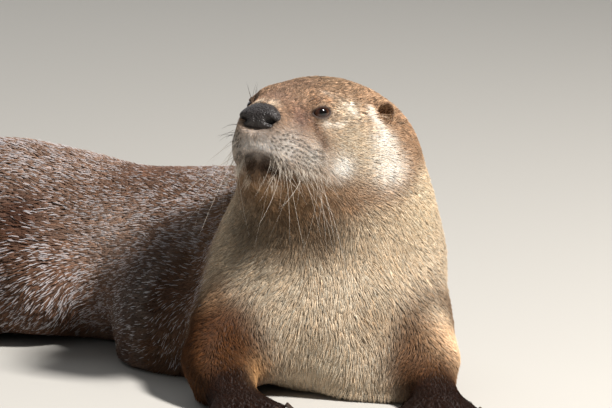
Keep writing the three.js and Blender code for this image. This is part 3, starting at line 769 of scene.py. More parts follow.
def add_mesh(name, points, faces, smooth=True):
    """A mesh from arrays. Faces may be a list of arrays with different counts of corners."""
    groups = faces if isinstance(faces, list) else [faces]
    mesh = bpy.data.meshes.new(name)
    counts = np.concatenate([np.full(len(group), group.shape[1]) for group in groups])
    corners = np.concatenate([group.ravel() for group in groups]).astype(np.int32)
    mesh.vertices.add(len(points))
    mesh.vertices.foreach_set("co", np.asarray(points, np.float32).ravel())
    mesh.loops.add(len(corners))
    mesh.loops.foreach_set("vertex_index", corners)
    mesh.polygons.add(len(counts))
    mesh.polygons.foreach_set("loop_start", np.concatenate([[0], np.cumsum(counts)[:-1]]).astype(np.int32))
    mesh.update(calc_edges=True)
    mesh.polygons.foreach_set("use_smooth", np.full(len(counts), smooth))
    return mesh


def turned_shape(profile, columns):
    """Corners of a profile of (radius, height) turned round +Z, with a pole at each end, and its faces."""
    angles = np.linspace(0, 2 * np.pi, columns, endpoint=False)
    radius, height = np.array(profile[1:-1]).T
    x = radius[:, None] * np.cos(angles)
    y = radius[:, None] * np.sin(angles)
    z = np.broadcast_to(height[:, None], x.shape)
    ring = np.stack([x, y, z], -1).reshape(-1, 3)
    points = np.vstack([ring, [0, 0, profile[0][1]], [0, 0, profile[-1][1]]])
    return points, capped_faces(len(radius), columns)


def outward(mesh):
    """Turns every face of a closed mesh outwards."""
    work = bmesh.new()
    work.from_mesh(mesh)
    bmesh.ops.recalc_face_normals(work, faces=work.faces)
    work.to_mesh(mesh)
    work.free()


# %% Eyeballs
CORNEA_RADIUS, CORNEA_BULGE = 5.6, 0.55
BALL_ROWS, BALL_COLUMNS = 40, 48
eye_rings = np.linspace(0, np.pi, BALL_ROWS)


def eyeball(side):
    """The corners of an eyeball in head millimetres, their distance from the pupil and the faces."""
    centre, gaze, inward, up = eye_frame(side)
    from_pupil = eye_rings * EYE_RADIUS
    bulge = CORNEA_BULGE * (1 - (from_pupil / CORNEA_RADIUS) ** 2).clip(0) ** 1.5
    radius = EYE_RADIUS + bulge
    profile = np.column_stack([radius * np.sin(eye_rings), radius * np.cos(eye_rings)])
    points, faces = turned_shape(profile, BALL_COLUMNS)
    rings = np.repeat(from_pupil[1:-1], BALL_COLUMNS)
    return centre + points @ np.array([inward, up, gaze]), np.append(rings, [0, from_pupil[-1]]), faces


print("eyeball, mm across:", 2 * EYE_RADIUS)

# %% [markdown]
# ## Nose pad
#
# The bare pad is wider than it is high, blunt in front and domed above. The nostrils are commas low at
# each side, under a swollen wing, and a shallow groove runs down between them. It could be sculpted, or
# cut from the skin with a second material, but its edge against the fur is sharp. So it is a dome over
# an outline of its own, with soft hills and pits added by formula, and its skirt runs back under the fur.

# %% Outline of the nose pad
# Sizes in mm. The powers square the outline off above and below, and it narrows a little both ways.
PAD_HALF_WIDTH, PAD_TOP, PAD_BOTTOM, PAD_DOME = 16.2, 11.2, 9.2, 7.0
PAD_POWERS, PAD_NARROWING = (2.3, 3.4), (0.2, 0.16)
PAD_COLUMNS = 112
PAD_ROWS = np.concatenate([np.linspace(0.02, 1, 44), [1.06, 1.1, 1.1, 0.5]])


def pad_outline():
    """Rows of places across and up the pad, from its middle out to its skirt, as shares of its size."""
    k, angle = np.meshgrid(PAD_ROWS, np.linspace(0, 2 * np.pi, PAD_COLUMNS, endpoint=False), indexing="ij")
    upper = np.sin(angle) > 0
    power = np.where(upper, *PAD_POWERS)
    height = np.where(upper, PAD_TOP, PAD_BOTTOM)
    sides = np.abs(np.cos(angle) / PAD_HALF_WIDTH) ** power + np.abs(np.sin(angle) / height) ** power
    edge = sides ** (-1 / power)
    y, z = k * edge * np.cos(angle), k * edge * np.sin(angle)
    above, below = (z / PAD_TOP).clip(0, 1), (-z / PAD_BOTTOM).clip(0, 1)
    return k, y * (1 - PAD_NARROWING[0] * above - PAD_NARROWING[1] * below), z


# %% Relief of the nose pad
PAD_BEVEL, PAD_BEVEL_BELOW, PAD_FLAT = 0.45, 0.6, (-5, 2.5)
PAD_SKIRT, SKIRT_BACK = 72, 6
PAD_TILT, PAD_SHIFT = math.radians(3), np.array([-1.0, -0.8, 1.0])
# Each hill or pit: distance out, height, reach across, reach up, and how far it rises, in mm.
WING, NOSTRIL, SLIT, INNER_HILL = (
    (12.2, 0.6, 3.6, 3.2, 1.5),
    (10.8, -2.8, 3.5, 2.3, -5.6),
    (14.0, -3.4, 2.6, 1.3, -3.2),
    (6.4, -3.8, 2.2, 3.0, 0.4),
)
# Share of a nostril's painted shade that the slit beside it gets.
SLIT_SHADE = 0.7
GROOVE_DEPTH, GROOVE_WIDTH, GROOVE_TOP, GROOVE_FADE = 0.5, 0.9, -1, 1.2


def hill(y, z, side, form):
    """A soft hill over a place of the pad, one at its middle."""
    out, up, reach_y, reach_z, _ = form
    return np.exp(-(((y - side * out) / reach_y) ** 2) - ((z - up) / reach_z) ** 2)


def nose_pad():
    """Corners of the nose pad in head millimetres, the painted shade of each in a nostril, and the faces."""
    k, y, z = pad_outline()
    low, high = PAD_FLAT
    rise = PAD_DOME * (1 - np.minimum(k, 1) ** 3.0).clip(0) ** 0.5 - PAD_SKIRT * (k - 1).clip(0)
    rise = rise - PAD_BEVEL * (np.logaddexp(0, z - high) + PAD_BEVEL_BELOW * np.logaddexp(0, low - z))
    nostril_shade = np.zeros(z.shape)
    for side in (1, -1):
        for form in (WING, NOSTRIL, SLIT, INNER_HILL):
            rise = rise + form[-1] * hill(y, z, side, form) * ((k < 1.02) | (form is not WING))
        nostril_shade += hill(y, z, side, NOSTRIL) + SLIT_SHADE * hill(y, z, side, SLIT)
    groove = np.exp(-((y / GROOVE_WIDTH) ** 2)) / (1 + np.exp((z - GROOVE_TOP) / GROOVE_FADE))
    rise = rise - GROOVE_DEPTH * groove
    ahead = rise * math.cos(PAD_TILT) - z * math.sin(PAD_TILT)
    above = z * math.cos(PAD_TILT) + rise * math.sin(PAD_TILT)
    places = np.stack([ahead, y, above], -1) + NOSE_PLACE + PAD_SHIFT
    places[-2:] -= [SKIRT_BACK, 0, 0]
    points = np.vstack([places.reshape(-1, 3), places[0].mean(0), places[-1].mean(0)])
    depth = np.append(nostril_shade.ravel(), [0, 0]).clip(0, 1)
    return points, depth, capped_faces(len(PAD_ROWS), PAD_COLUMNS)


print("nose pad, mm:", 2 * PAD_HALF_WIDTH, "wide and", PAD_TOP + PAD_BOTTOM, "high")

# %% [markdown]
# ## Measures and lie on the finished skin
#
# Hair is shortest round the nose and the eyes, and grows longer towards the back of the head. No hair
# grows on the nose pad, inside the lids, between the lips, in the ear or under the toes. These measures
# could be painted by hand as weights, but a formula in millimetres is the same on both sides of the face
# and needs no map. The lie is pressed flat to the skin and smoothed, so neighbouring locks agree, and
# slow ripples make it wander as a real coat's does.

# %% Measures round the face
FACE_SPAN, LID_CROP, LEAST_CROP = (-25, 48), (0.3, 7), 0.4
PAD_MIDDLE, PAD_SPAN, TEAR_REACH = (46, 18, -24), (17, 13, 11), 4
# Shares by which hair is shorter, narrower and denser on the face, and shorter still beside the nose.
FACE_SHORTER, FACE_NARROWER, FACE_DENSER, PAD_SHORTER = 0.52, 0.25, 0.6, 0.35

points, normals = corners_of(skin_mesh), normals_of(skin_mesh)
edges = read(skin_mesh.edges, "vertices", 2, np.int32)
face_places = in_head(points)
on_face = kept(skin_mesh, "of_head") * ramp(face_places[:, 0], *FACE_SPAN)
outside = outside_lids(face_places)
length, width, density = (kept(skin_mesh, name) for name in ("length", "width", "density"))
close_cropped = ramp(outside, *LID_CROP) * (1 - LEAST_CROP) + LEAST_CROP
length = length * (1 - FACE_SHORTER * on_face) * close_cropped
width = width * (1 - FACE_NARROWER * on_face) * (0.6 + 0.4 * close_cropped)
density = density * (1 + FACE_DENSER * on_face)
mirrored = face_places * np.where(face_places[:, 1:2] < 0, [[1, -1, 1]], 1)
on_pad = np.exp(-((np.linalg.norm((mirrored - PAD_MIDDLE) / PAD_SPAN, axis=1)) ** 4))
on_tear = np.exp(-((nearest_on(TEAR_CREASE, face_places)[0] / TEAR_REACH) ** 2))
length = length * (1 - PAD_SHORTER * on_pad) * (1 - PAD_SHORTER * on_tear)
print("hair on the face, mm:", round(float(length[on_face > 0.9].mean()), 1), "on average")

# %% Fringe of the upper lip
FRINGE_LENGTH, FRINGE_DENSER, OVERHANG_SHORTER = 4.5, 0.8, 0.55
# Centre and half width of a band above the mouth line, and how far from the line it reaches, in mm.
FRINGE_BAND, OVERHANG_BAND = (2.5, 2.2, 6), (3, 4, 8)
# Distances from the middle of the face over which the fringe comes in and the overhang goes, in mm.
FRINGE_SIDES, OVERHANG_SIDES = (6, 18), (8, 20)

near_head = near_face(face_places)
from_mouth = face_distance(MOUTH, face_places)
above_mouth = np.full(len(face_places), FAR)
above_mouth[near_head] = nearest_on(MOUTH, face_places[near_head])[1][:, 2]


def lip_band(centre, half_width, reach):
    """One in the middle of a band of skin over the mouth line, and nought well outside it."""
    return np.exp(-(((above_mouth - centre) / half_width) ** 2)) * np.exp(-((from_mouth / reach) ** 4))


fringe = lip_band(*FRINGE_BAND) * (above_mouth > 0) * ramp(np.abs(face_places[:, 1]), *FRINGE_SIDES)
overhang = lip_band(*OVERHANG_BAND) * (1 - ramp(np.abs(face_places[:, 1]), *OVERHANG_SIDES))
length *= 1 - OVERHANG_SHORTER * overhang
length += FRINGE_LENGTH * fringe
density *= 1 + FRINGE_DENSER * fringe
print("corners under the lip's fringe:", int((fringe > 0.5).sum()))

# %% Bald skin
PAD_DEPTH, PAD_COVER, LOWER_PAD = 14, 0.93, (0.86, 0.88)
LID_BALD, LIP_BALD, EAR_BALD = 0.5, 1.0, 7.2
EAR_PLACE = np.array([-24.5, 49.6, 11.5])
SOLE_HEIGHT, SOLE_FACING = 3.0 * MM, -0.6

upper = face_places[:, 2] > NOSE_UP
pad_side = np.where(upper, 1, LOWER_PAD[0]) * PAD_HALF_WIDTH
pad_height = np.where(upper, PAD_TOP, LOWER_PAD[1] * PAD_BOTTOM)
pad_size = np.column_stack(np.broadcast_arrays(PAD_DEPTH, pad_side, pad_height))
under_pad = np.linalg.norm((face_places - NOSE_PLACE) / pad_size, axis=1) < PAD_COVER
under_pad &= face_places[:, 0] > MUZZLE_TIP
bald = under_pad | (outside < LID_BALD) | (from_mouth < LIP_BALD)
for side in (1, -1):
    bald |= np.linalg.norm(face_places - EAR_PLACE * [1, side, 1], axis=1) < EAR_BALD
bald |= (normals[:, 2] < SOLE_FACING) & (points[:, 2] < SOLE_HEIGHT)
density[bald] = 0
print("bald corners:", int(bald.sum()), "of", len(bald))

# %% Places of the whiskers
face_tree = KDTree(int(near_head.sum()))
face_corners = np.flatnonzero(near_head)
for index, corner in enumerate(face_corners):
    face_tree.insert(face_places[corner], index)
face_tree.balance()


def on_skin(targets):
    """The skin's corners nearest to targets given in head mm."""
    return np.array([face_corners[face_tree.find(target)[1]] for target in targets])


FOLLICLE_ROWS, FOLLICLE_COLUMNS = 7, 13
# The first root beside the nose, and the steps down to the next row and back along a row, in head mm.
PAD_START, ROW_STEP, COLUMN_STEP = np.array([[60, 10, -14], [0.1, 0.4, -2.9], [-2.5, 2.1, -0.8]])
row, column = (grid.ravel() for grid in np.indices((FOLLICLE_ROWS, FOLLICLE_COLUMNS)))
along_row = column + 0.5 * (row % 2)
follicle_targets = PAD_START + row[:, None] * ROW_STEP + along_row[:, None] * COLUMN_STEP
follicles = [on_skin(follicle_targets * [1, side, 1]) for side in (1, -1)]
follicle_places = face_places[np.concatenate(follicles)]
print("whisker roots:", len(follicle_places))

# %% Lie pressed to the skin
def pressed(vectors, normals):
    """Vectors turned into the plane of the skin, at length one."""
    return unit(vectors - normals * np.sum(vectors * normals, axis=1, keepdims=True))


WAVES = 7


def ripple(points, size, seed):
    """A smooth field of three numbers that swings between about -1 and 1 over a size in metres."""
    draw = np.random.default_rng(seed)
    waves = unit(draw.normal(size=(WAVES, 3))) * draw.uniform(0.6, 1.4, (WAVES, 1)) * 2 * np.pi / size
    phases = draw.uniform(0, 2 * np.pi, (WAVES, 3))
    return np.sin((points @ waves.T)[:, :, None] + phases[None]).sum(1) / WAVES**0.5


LIE_ROUNDS, NOSE_PULL, FRINGE_PULL = 10, 1.1, 2.5
WHORL, FRINGE_WAY = (5, 0, 3), np.array([-0.45, 0, -0.9])
# How far the lie wanders, over what size, and the seed of the draw.
LIE_RIPPLES = ((0.16, 45 * MM, 3), (0.10, 14 * MM, 4))
from_nose = unit(face_places - NOSE_PLACE - WHORL) @ HEAD_AXES
lie = kept(skin_mesh, "lie") + NOSE_PULL * kept(skin_mesh, "of_head")[:, None] * from_nose
lie += FRINGE_PULL * fringe[:, None] * (FRINGE_WAY @ HEAD_AXES)
lie = pressed(smoothed(pressed(lie, normals), edges, LIE_ROUNDS), normals)
for amount, size, seed in LIE_RIPPLES:
    lie = lie + amount * ripple(points, size, seed)
lie = pressed(lie, normals)
print("lie of the coat set on", len(lie), "corners")

# %% [markdown]
# ## Markings
#
# The coat is chocolate brown on the back, the legs and the tail, greyer and paler on the head, and buff
# on the throat and chest. An image could hold such markings, but a painted image stretches where its map
# does, and one kept per corner does not. So the colours are laid as a painter lays them: a ground for
# each part, blended over the joints, then soft touches one over the other. A few touches are painted
# shade under the lips, on the throat, the back and the flank, and painted light on the flank and the
# muzzle. The skin and the locks read the same colours.

# %% Ground colours
GROUND = {
    "head": "8c7058",
    "neck": "baa78e",
    "chest": "bcab94",
    "belly": "6e5444",
    "rump": "7b6151",
    "tail_base": "62493b",
    "tail_middle": "573f32",
    "tail_tip": "46322a",
    "foreleg": "4a2e18",
    "hindleg": "5c4436",
    "forepaw": "1f0d04",
    "hindfoot": "28170c",
}


def ground(part):
    """The ground colour of a part, by its name or by its name without the side."""
    return linear(GROUND.get(part) or GROUND[part.rsplit("_", 1)[0]])


ZONE_ROUNDS = 30
zones = nearest_parts(points, FLESH)
zone_shares = smoothed(np.eye(len(FLESH))[zones], edges, ZONE_ROUNDS)
paint = zone_shares @ np.array([ground(part) for part in FLESH])
print("ground colours:", len(GROUND))

# %% Brown back behind the pale throat and chest
BACK_BROWN, NAPE_BROWN = "6a4f3e", "7c604a"
# Distances over which the browns come in, and how far their edges wander, in mm.
FLANK_EDGE, FLANK_WANDER, NAPE_EDGE, NAPE_WANDER = (2, 34), 5, (-8, 50), 10
TO_THE_FLANK, PALE_EDGE, WANDER_SIZE = unit([-0.75, 0.60, -0.30]), (0, 0.4), 60 * MM


def cover(paint, share, colour):
    """Paint with another colour laid over a share of it."""
    return paint + share[:, None] * (linear(colour) - paint)


def part_share(*parts):
    """How much of each corner's skin belongs to the parts named."""
    return zone_shares[:, [FLESH.index(part) for part in parts]].sum(1)


behind_chest = (points - middle("chest")) @ TO_THE_FLANK / MM
flank_share = ramp(behind_chest + FLANK_WANDER * ripple(points, WANDER_SIZE, 8)[:, 0], *FLANK_EDGE)
pale_parts = part_share("neck", "chest")
paint = cover(paint, ramp(pale_parts, *PALE_EDGE) * flank_share, BACK_BROWN)
behind_neck = (points[:, 1] - middle("neck")[1]) / MM
behind_neck = behind_neck + NAPE_WANDER * ripple(points, WANDER_SIZE, 9)[:, 0]
paint = cover(paint, pale_parts * ramp(behind_neck, *NAPE_EDGE), NAPE_BROWN)
print("brown corners behind the chest:", int((flank_share * pale_parts > 0.5).sum()))

# %% Touches on the head, some of them painted shade and light
# Place in head mm, reach in mm, colour and strength. Each is laid on both sides of the face.
HEAD_TOUCHES_AND_PAINTED_LIGHT = [
    ((-5, 0, 34), 34, "675543", 0.85),
    ((20, 0, 24), 22, "624d3f", 0.85),
    ((46, 0, 8), 14, "655146", 0.9),
    ((58, 6, 6), 4.5, "bfae99", 0.8),
    ((42, 19, -3), 11, "644b42", 0.95),
    ((30, 33, -14), 8, "97795f", 0.7),
    ((12, 48, -12), 22, "a99a85", 0.9),
    ((-4, 58, -20), 18, "b8a78f", 0.8),
    ((9, 38, 10), 9, "b5a691", 0.7),
    ((36, 24, 5), 3.5, "54392a", 0.85),
    ((30, 24, 13), 3.5, "6d4f3b", 0.7),
    ((22, 29, 15), 3.5, "a17d60", 0.7),
    ((26, 32, -2), 3.0, "cbc1b4", 0.7),
    ((52, 16, -24), 12, "d8d3cb", 0.95),
    ((36, 30, -29), 12, "c9c1b7", 0.95),
    ((16, 44, -31), 8, "e6e2da", 0.9),
    # Pale front of the muzzle, painted a little lighter still as fill light on its shaded side.
    ((60, 4, -24), 10, "d0cac4", 0.95),
    ((-12, 57, -9), 9, "d6d0c6", 0.95),
    ((-16, 62, -26), 13, "e0dad0", 0.9),
    ((-40, 50, -6), 12, "80644c", 0.85),
    # Painted shade under the upper lip, over the lower lip and the chin, in these three dark touches.
    ((58, 5, -36), 6.5, "34200f", 0.9),
    ((50, 8, -40), 9, "2f1a08", 0.97),
    ((38, 20, -46), 8, "371f0a", 0.9),
    ((42, 6, -57), 8, "b08c68", 0.8),
    ((24, 14, -64), 22, "7d6348", 0.85),
]


def touched(paint, distance, reach, colour, strength):
    """Paint with a soft touch of another colour laid over it."""
    return cover(paint, strength * np.exp(-((distance / reach) ** 2)), colour)


def head_distance(place):
    """Distance in mm from each corner to a place on the head, or to its mirror image if that is nearer."""
    both = [np.multiply(place, (1, side, 1)) for side in (1, -1)]
    return np.min([np.linalg.norm(face_places - one, axis=1) for one in both], 0)


for place, reach, colour, strength in HEAD_TOUCHES_AND_PAINTED_LIGHT:
    paint = touched(paint, head_distance(place), reach, colour, strength)
print("touches on the head:", len(HEAD_TOUCHES_AND_PAINTED_LIGHT))

# %% Streaks and creases of the face
# Places along a curve in head mm, width in mm, colour and strength.
STREAKS = [
    ([(20, 25, 22), (13, 33, 20), (7, 38, 13), (4, 40, 7)], 2.6, "dcd3c4", 0.9),
    ([(3, 40, 4), (2, 44, -2), (-1, 48, -8)], 2.2, "775b45", 0.8),
    ([(-8, 46, 15), (-8, 50, 7), (-14, 57, -3)], 3.2, "d6cfc3", 0.9),
    ([(30, 30, 14), (22, 34, 12), (16, 38, 6)], 1.6, "7d6350", 0.7),
    ([(26, 33, -3), (19, 38, -2), (15, 41, 2)], 2.0, "d0c6b8", 0.8),
]
for through, reach, colour, strength in STREAKS:
    distance = nearest_on(mirrored_curve(through), face_places)[0]
    paint = touched(paint, distance, reach, colour, strength)

CROWN_EDGE, MOTTLING, MOTTLE_SIZE = (-10, 10), 0.14, 8 * MM
on_crown = kept(skin_mesh, "of_head") * ramp(face_places[:, 2], *CROWN_EDGE)
paint *= 1 + MOTTLING * on_crown[:, None] * ripple(points, MOTTLE_SIZE, 15)[:, :1]

# The bare dark skin of the tear crease, the lips and the rims of the lids: distance, reach in mm,
# colour and strength.
DARK_SKIN = (
    (face_distance(TEAR_CREASE, face_places), 3.4, "452a1c", 1.0),
    (from_mouth, 2.2, "2c1a12", 0.9),
    (outside.clip(0), 1.3, "2a1c16", 1.0),
)
for distance, reach, colour, strength in DARK_SKIN:
    paint = touched(paint, distance, reach, colour, strength)
paint[under_pad] = linear("1d1715")
SPOT_DARKNESS, SPOT_REACH = 0.7, 0.9
from_spot = face_distance(follicle_places, face_places)
paint *= 1 - SPOT_DARKNESS * np.exp(-((from_spot / SPOT_REACH) ** 2))[:, None]
print("streaks and creases of the face:", len(STREAKS) + len(DARK_SKIN))

# %% Touches on the throat, the chest, the legs and the trunk, some of them painted shade and light
# Place in mm of the frame, reach in mm, colour and strength. Touches marked below are painted shade and
# light.
BODY_TOUCHES_AND_PAINTED_LIGHT = [
    # Painted shadow of the chin on the throat, in these three dark touches.
    ((318, -168, 122), 22, "341e08", 0.88),
    ((288, -176, 118), 20, "3c250c", 0.8),
    ((268, -148, 122), 27, "33281f", 0.75),
    ((308, -190, 48), 12, "96826a", 0.7),
    ((352, -182, 66), 19, "948068", 0.7),
    ((338, -190, 88), 15, "d2c4ae", 0.8),
    ((320, -190, 30), 12, "cdbfa8", 0.7),
    ((395, -150, 55), 15, "cfbfa6", 0.7),
    ((243, -160, 42), 26, "3d2210", 0.9),
    ((275, -190, 24), 12, "bb9062", 0.9),
    ((238, -150, 78), 14, "94765a", 0.7),
    ((408, -165, 40), 19, "e0bd98", 0.9),
    ((386, -185, 26), 10, "5f4430", 0.8),
    ((388, -146, 136), 22, "cdbb9f", 0.8),
    # Painted shade in the hollow between the back and the haunch.
    ((88, 32, 98), 26, "3c2012", 0.9),
    # Painted shadow of the forequarters on the low flank beside the forelegs.
    ((196, -66, 44), 50, "1f120b", 0.88),
    ((193, 45, 131), 30, "6b4a39", 0.6),
    # Painted sunlight on the upper flank.
    ((160, -6, 92), 26, "a08574", 0.7),
]
for place, reach, colour, strength in BODY_TOUCHES_AND_PAINTED_LIGHT:
    distance = np.linalg.norm(points / MM - place, axis=1)
    paint = touched(paint, distance, reach, colour, strength)
print("touches on the body:", len(BODY_TOUCHES_AND_PAINTED_LIGHT))

# %% [markdown]
# ## Silvered hairs and painted glints
# Many guard hairs of the back end in a pale tip, which gives the wet coat its silver grizzle, and wet tips
# glint in a strong light. It could be noise in the material, but noise has no hairs in it. Here some locks
# of the back, more in some places than in others, are given pale ends, which stand both for the grizzle
# and for painted glints. There are fewer near the floor and in the places of painted shade, and this cell
# works out how many.

# %% Share of locks with pale tips and painted glints
PALE_TIP_AND_GLINT_SHARE, HIGH_ENOUGH, WELL_BEHIND = 0.46, (4, 26), (20, 110)
BROWN_PARTS = ["belly", "rump", "tail_base", "tail_middle", "tail_tip", "hindleg_left", "hindleg_right"]
# Places on the back and the flank, in mm of the frame, that have few pale tips, and their reach. The
# first lies in the painted shade of the hollow, and the last in the painted shade beside the forelegs.
PALE_TIP_AND_GLINT_GAPS, GAP_STRENGTH = [((88, 32, 98), 30), ((193, 45, 131), 42), ((205, -80, 50), 58)], 0.85

on_back = np.maximum(flank_share, ramp(behind_neck, *WELL_BEHIND))
pale_tips_and_glints = PALE_TIP_AND_GLINT_SHARE * np.maximum(part_share(*BROWN_PARTS), ramp(pale_parts, *PALE_EDGE) * on_back)
broad, fine = (ramp(ripple(points, size, seed)[:, 0], -1, 1) for size, seed in ((40 * MM, 12), (13 * MM, 13)))
# Pale tips thin out near the floor, where the underside lies in shade and no glints are painted.
pale_tips_and_glints *= (0.6 + 0.4 * broad) * ramp(points[:, 2] / MM, *HIGH_ENOUGH)
pale_tips_and_glints *= 0.55 + 0.9 * fine
for place, reach in PALE_TIP_AND_GLINT_GAPS:
    distance = np.linalg.norm(points / MM - place, axis=1)
    pale_tips_and_glints *= 1 - GAP_STRENGTH * np.exp(-((distance / reach) ** 2))
print("most silver, share of locks:", round(float(pale_tips_and_glints.max()), 2))

# %% [markdown]
# ## Underfur
#
# Under the long hairs lies a dense, dull wool that keeps the water out. It shows only as a soft ground
# between the locks, so the skin carries the coat's own colours with a fine bump for the wool, and is
# rough enough to give no highlight. Millions of short hairs would say little more at this size.

# %% Skin finish
skin_fur, tree, shader = new_material("dense otter underfur")


def add_node(tree, kind, values=None, links=None, **settings):
    """A node of a kind, with its settings, its inputs' values and the outputs linked to its inputs."""
    made = tree.nodes.new(kind)
    for name, value in settings.items():
        setattr(made, name, value)
    for name, value in (values or {}).items():
        made.inputs[name].default_value = value
    for name, output in (links or {}).items():
        tree.links.new(output, made.inputs[name])
    return made


# Dull wool in the coat's own colours, with no highlight. Curls about a millimetre across break it up.
UNDERFUR_SHADE, WOOL, WOOL_HEIGHT = 0.95, MM / 0.9, 0.6 * MM
keep(skin_mesh, "coat_colour", paint * UNDERFUR_SHADE)
place = add_node(tree, "ShaderNodeTexCoord").outputs["Object"]
curls = {"Scale": 1 / WOOL, "Detail": 3.0, "Roughness": 0.6}
wool = add_node(tree, "ShaderNodeTexNoise", curls, {"Vector": place}).outputs["Fac"]
bump = add_node(tree, "ShaderNodeBump", {"Strength": 0.5, "Distance": WOOL_HEIGHT}, {"Height": wool})
underfur = add_node(tree, "ShaderNodeAttribute", attribute_name="coat_colour")
tree.links.new(underfur.outputs["Color"], shader.inputs["Base Color"])
tree.links.new(bump.outputs["Normal"], shader.inputs["Normal"])
shader.inputs["Roughness"].default_value = 0.75
skin_mesh.materials.append(skin_fur)
print("finish:", skin_fur.name)

# %% [markdown]
# ## Locks of hair
#
# Guard hairs stand through the wool and lie over it like tiles, a few dozen to a lock when damp. Cards
# with a picture of hair would be fewer, but they show their edges at the outline. Each lock here is a
# thin closed spindle of six triangles: a root in the skin, a flat three-sided waist, and a tip. Geometry
# Nodes could scatter one spindle over the skin, but every lock here has a bend, a width and five colours
# of its own, its tip leans towards its neighbours', and it keeps a patch of the skin's map. Arrays do
# that for all the locks at once, and each piece stays an ordinary mesh.

# %% Roots
LOCK_FACES = np.array([(4, 1, 3), (4, 3, 2), (4, 2, 1), (0, 3, 1), (0, 2, 3), (0, 1, 2)])
# Each lock keeps its colour on a small patch of the map, given as a share of the map's width.
PATCH = 0.003
PATCH_CORNERS = np.array([(0, -0.5), (-0.5, 0), (0.5, 0), (0, 0.1), (0, 0.5)]) * PATCH


def scatter(mesh, density, seed):
    """Roots strewn over a mesh by density: the corners and shares that each one lies between, and its UV."""
    mesh.calc_loop_triangles()
    corners = read(mesh.loop_triangles, "vertices", 3, np.int32)
    loops = read(mesh.loop_triangles, "loops", 3, np.int32)
    areas = read(mesh.loop_triangles, "area", 1).astype(float) / MM**2
    draw = np.random.default_rng(seed)
    wanted = areas * density[corners].mean(1)
    count = np.floor(wanted + draw.random(len(wanted))).astype(int)
    triangle = np.repeat(np.arange(len(count)), count)
    shares = draw.dirichlet((1, 1, 1), len(triangle))
    uv = read(mesh.uv_layers["OFBake"].uv, "vector", 2)[loops[triangle]]
    return corners[triangle], shares, np.einsum("rk,rkj->rj", shares, uv)


def at_roots(values, corners, shares):
    """Values of a mesh's corners, read at the roots."""
    picked = values[corners]
    return np.einsum("rk,rkj->rj", shares, picked) if values.ndim == 2 else (shares * picked).sum(1)


print("triangles in a lock:", len(LOCK_FACES))

# %% Shape of a lock
# Shares of a lock's length: where the waist is, how far it stands off, and how deep the root is sunk. The
# ridge is a share of the width. The last two say how far a clump's edge wanders, and over how many cells.
WAIST_PLACE, ARCH, SUNK, RIDGE = 0.42, 0.07, 0.06, 0.3
CLUMP_WANDER, CLUMP_WAVE = 0.35, 5


def clumps(roots, cell, seed):
    """The clump that each lock belongs to, by number: locks that share a cell of a wavering grid."""
    turned = roots @ np.linalg.qr(np.random.default_rng(seed).normal(size=(3, 3)))[0]
    wandered = turned + CLUMP_WANDER * cell * ripple(roots, CLUMP_WAVE * cell, seed)
    cells = np.floor(wandered / cell).astype(int)
    return np.unique(cells, axis=0, return_inverse=True)[1].ravel()


def lean_together(tips, clump, pull):
    """Tips drawn towards the mean tip of their clump."""
    count = np.bincount(clump)
    mean = np.column_stack([np.bincount(clump, column) / count for column in tips.T])
    return tips + pull[:, None] * (mean[clump] - tips)


def lock_points(roots, normals, lie, length, width, lift, clump, pull):
    """The five corners of each lock, as one array of shape (locks, 5, 3)."""
    along = unit(lie * np.cos(lift)[:, None] + normals * np.sin(lift)[:, None])
    tips = lean_together(roots + along * length[:, None], clump, pull)
    along = unit(tips - roots)
    across = unit(np.cross(normals, along))
    above = np.cross(along, across)
    waist = roots + WAIST_PLACE * (tips - roots) + above * (ARCH * length)[:, None]
    half = across * (width / 2)[:, None]
    ridge = waist + above * (RIDGE * width)[:, None]
    sunk = roots - normals * (SUNK * length)[:, None]
    lock = np.stack([sunk, waist + half, waist - half, ridge, tips], 1)
    lock[:, :, 2] = lock[:, :, 2].clip(FLOOR_CLEARANCE)
    return lock


def locks_mesh(name, points, colours, uv):
    """A mesh of locks, with its colours and a patch of the skin's map for each."""
    count = len(points)
    faces = (np.arange(count)[:, None, None] * 5 + LOCK_FACES[None]).reshape(-1, 3)
    mesh = add_mesh(name, points.reshape(-1, 3), faces, smooth=False)
    keep(mesh, "coat_colour", colours.reshape(-1, 3))
    layer = mesh.uv_layers.new(name="OFBake")
    patch = uv[:, None, :] + PATCH_CORNERS[LOCK_FACES.ravel()][None]
    layer.uv.foreach_set("vector", patch.astype(np.float32).ravel())
    return mesh


# %% [markdown]
# ## Guard hair
#
# A guard hair is a smooth tube of keratin. Dry, it shines only softly. Wet and oiled, as on an otter's
# back, it gives a small sharp glint along each lock, which is what makes a coat look wet. Blender's own
# hair shader is for curves, so the locks have an ordinary shader: rough and dull on the throat and the
# legs, smoother on the back. Fine streaks of light and dark stand for the single hairs in a lock.

# %% Guard hair finish
# Hairs in a lock are told apart by streaks of about 0.7 mm, a fifth lighter or darker than the lock.
STRAND, STRAND_DARK, STRAND_PALE = MM / 1.4, 0.8, 1.2


def hair_finish(name, roughness, gloss):
    """Hair in the coat's own colours, with fine strands that differ a little in tone."""
    material, tree, shader = new_material(name)
    lock_paint = add_node(tree, "ShaderNodeAttribute", attribute_name="coat_colour")
    place = add_node(tree, "ShaderNodeTexCoord").outputs["Object"]
    streaks = {"Scale": 1 / STRAND, "Detail": 2.0}
    strands = add_node(tree, "ShaderNodeTexNoise", streaks, {"Vector": place}).outputs["Fac"]
    tones = {"From Min": 0.3, "From Max": 0.7, "To Min": STRAND_DARK, "To Max": STRAND_PALE}
    shade = add_node(tree, "ShaderNodeMapRange", tones, {"Value": strands})
    both = {0: lock_paint.outputs["Color"], 1: shade.outputs["Result"]}
    tone = add_node(tree, "ShaderNodeVectorMath", {}, both, operation="MULTIPLY")
    tree.links.new(tone.outputs["Vector"], shader.inputs["Base Color"])
    shader.inputs["Roughness"].default_value = roughness
    shader.inputs["Specular IOR Level"].default_value = gloss
    print("finish:", name)
    return material


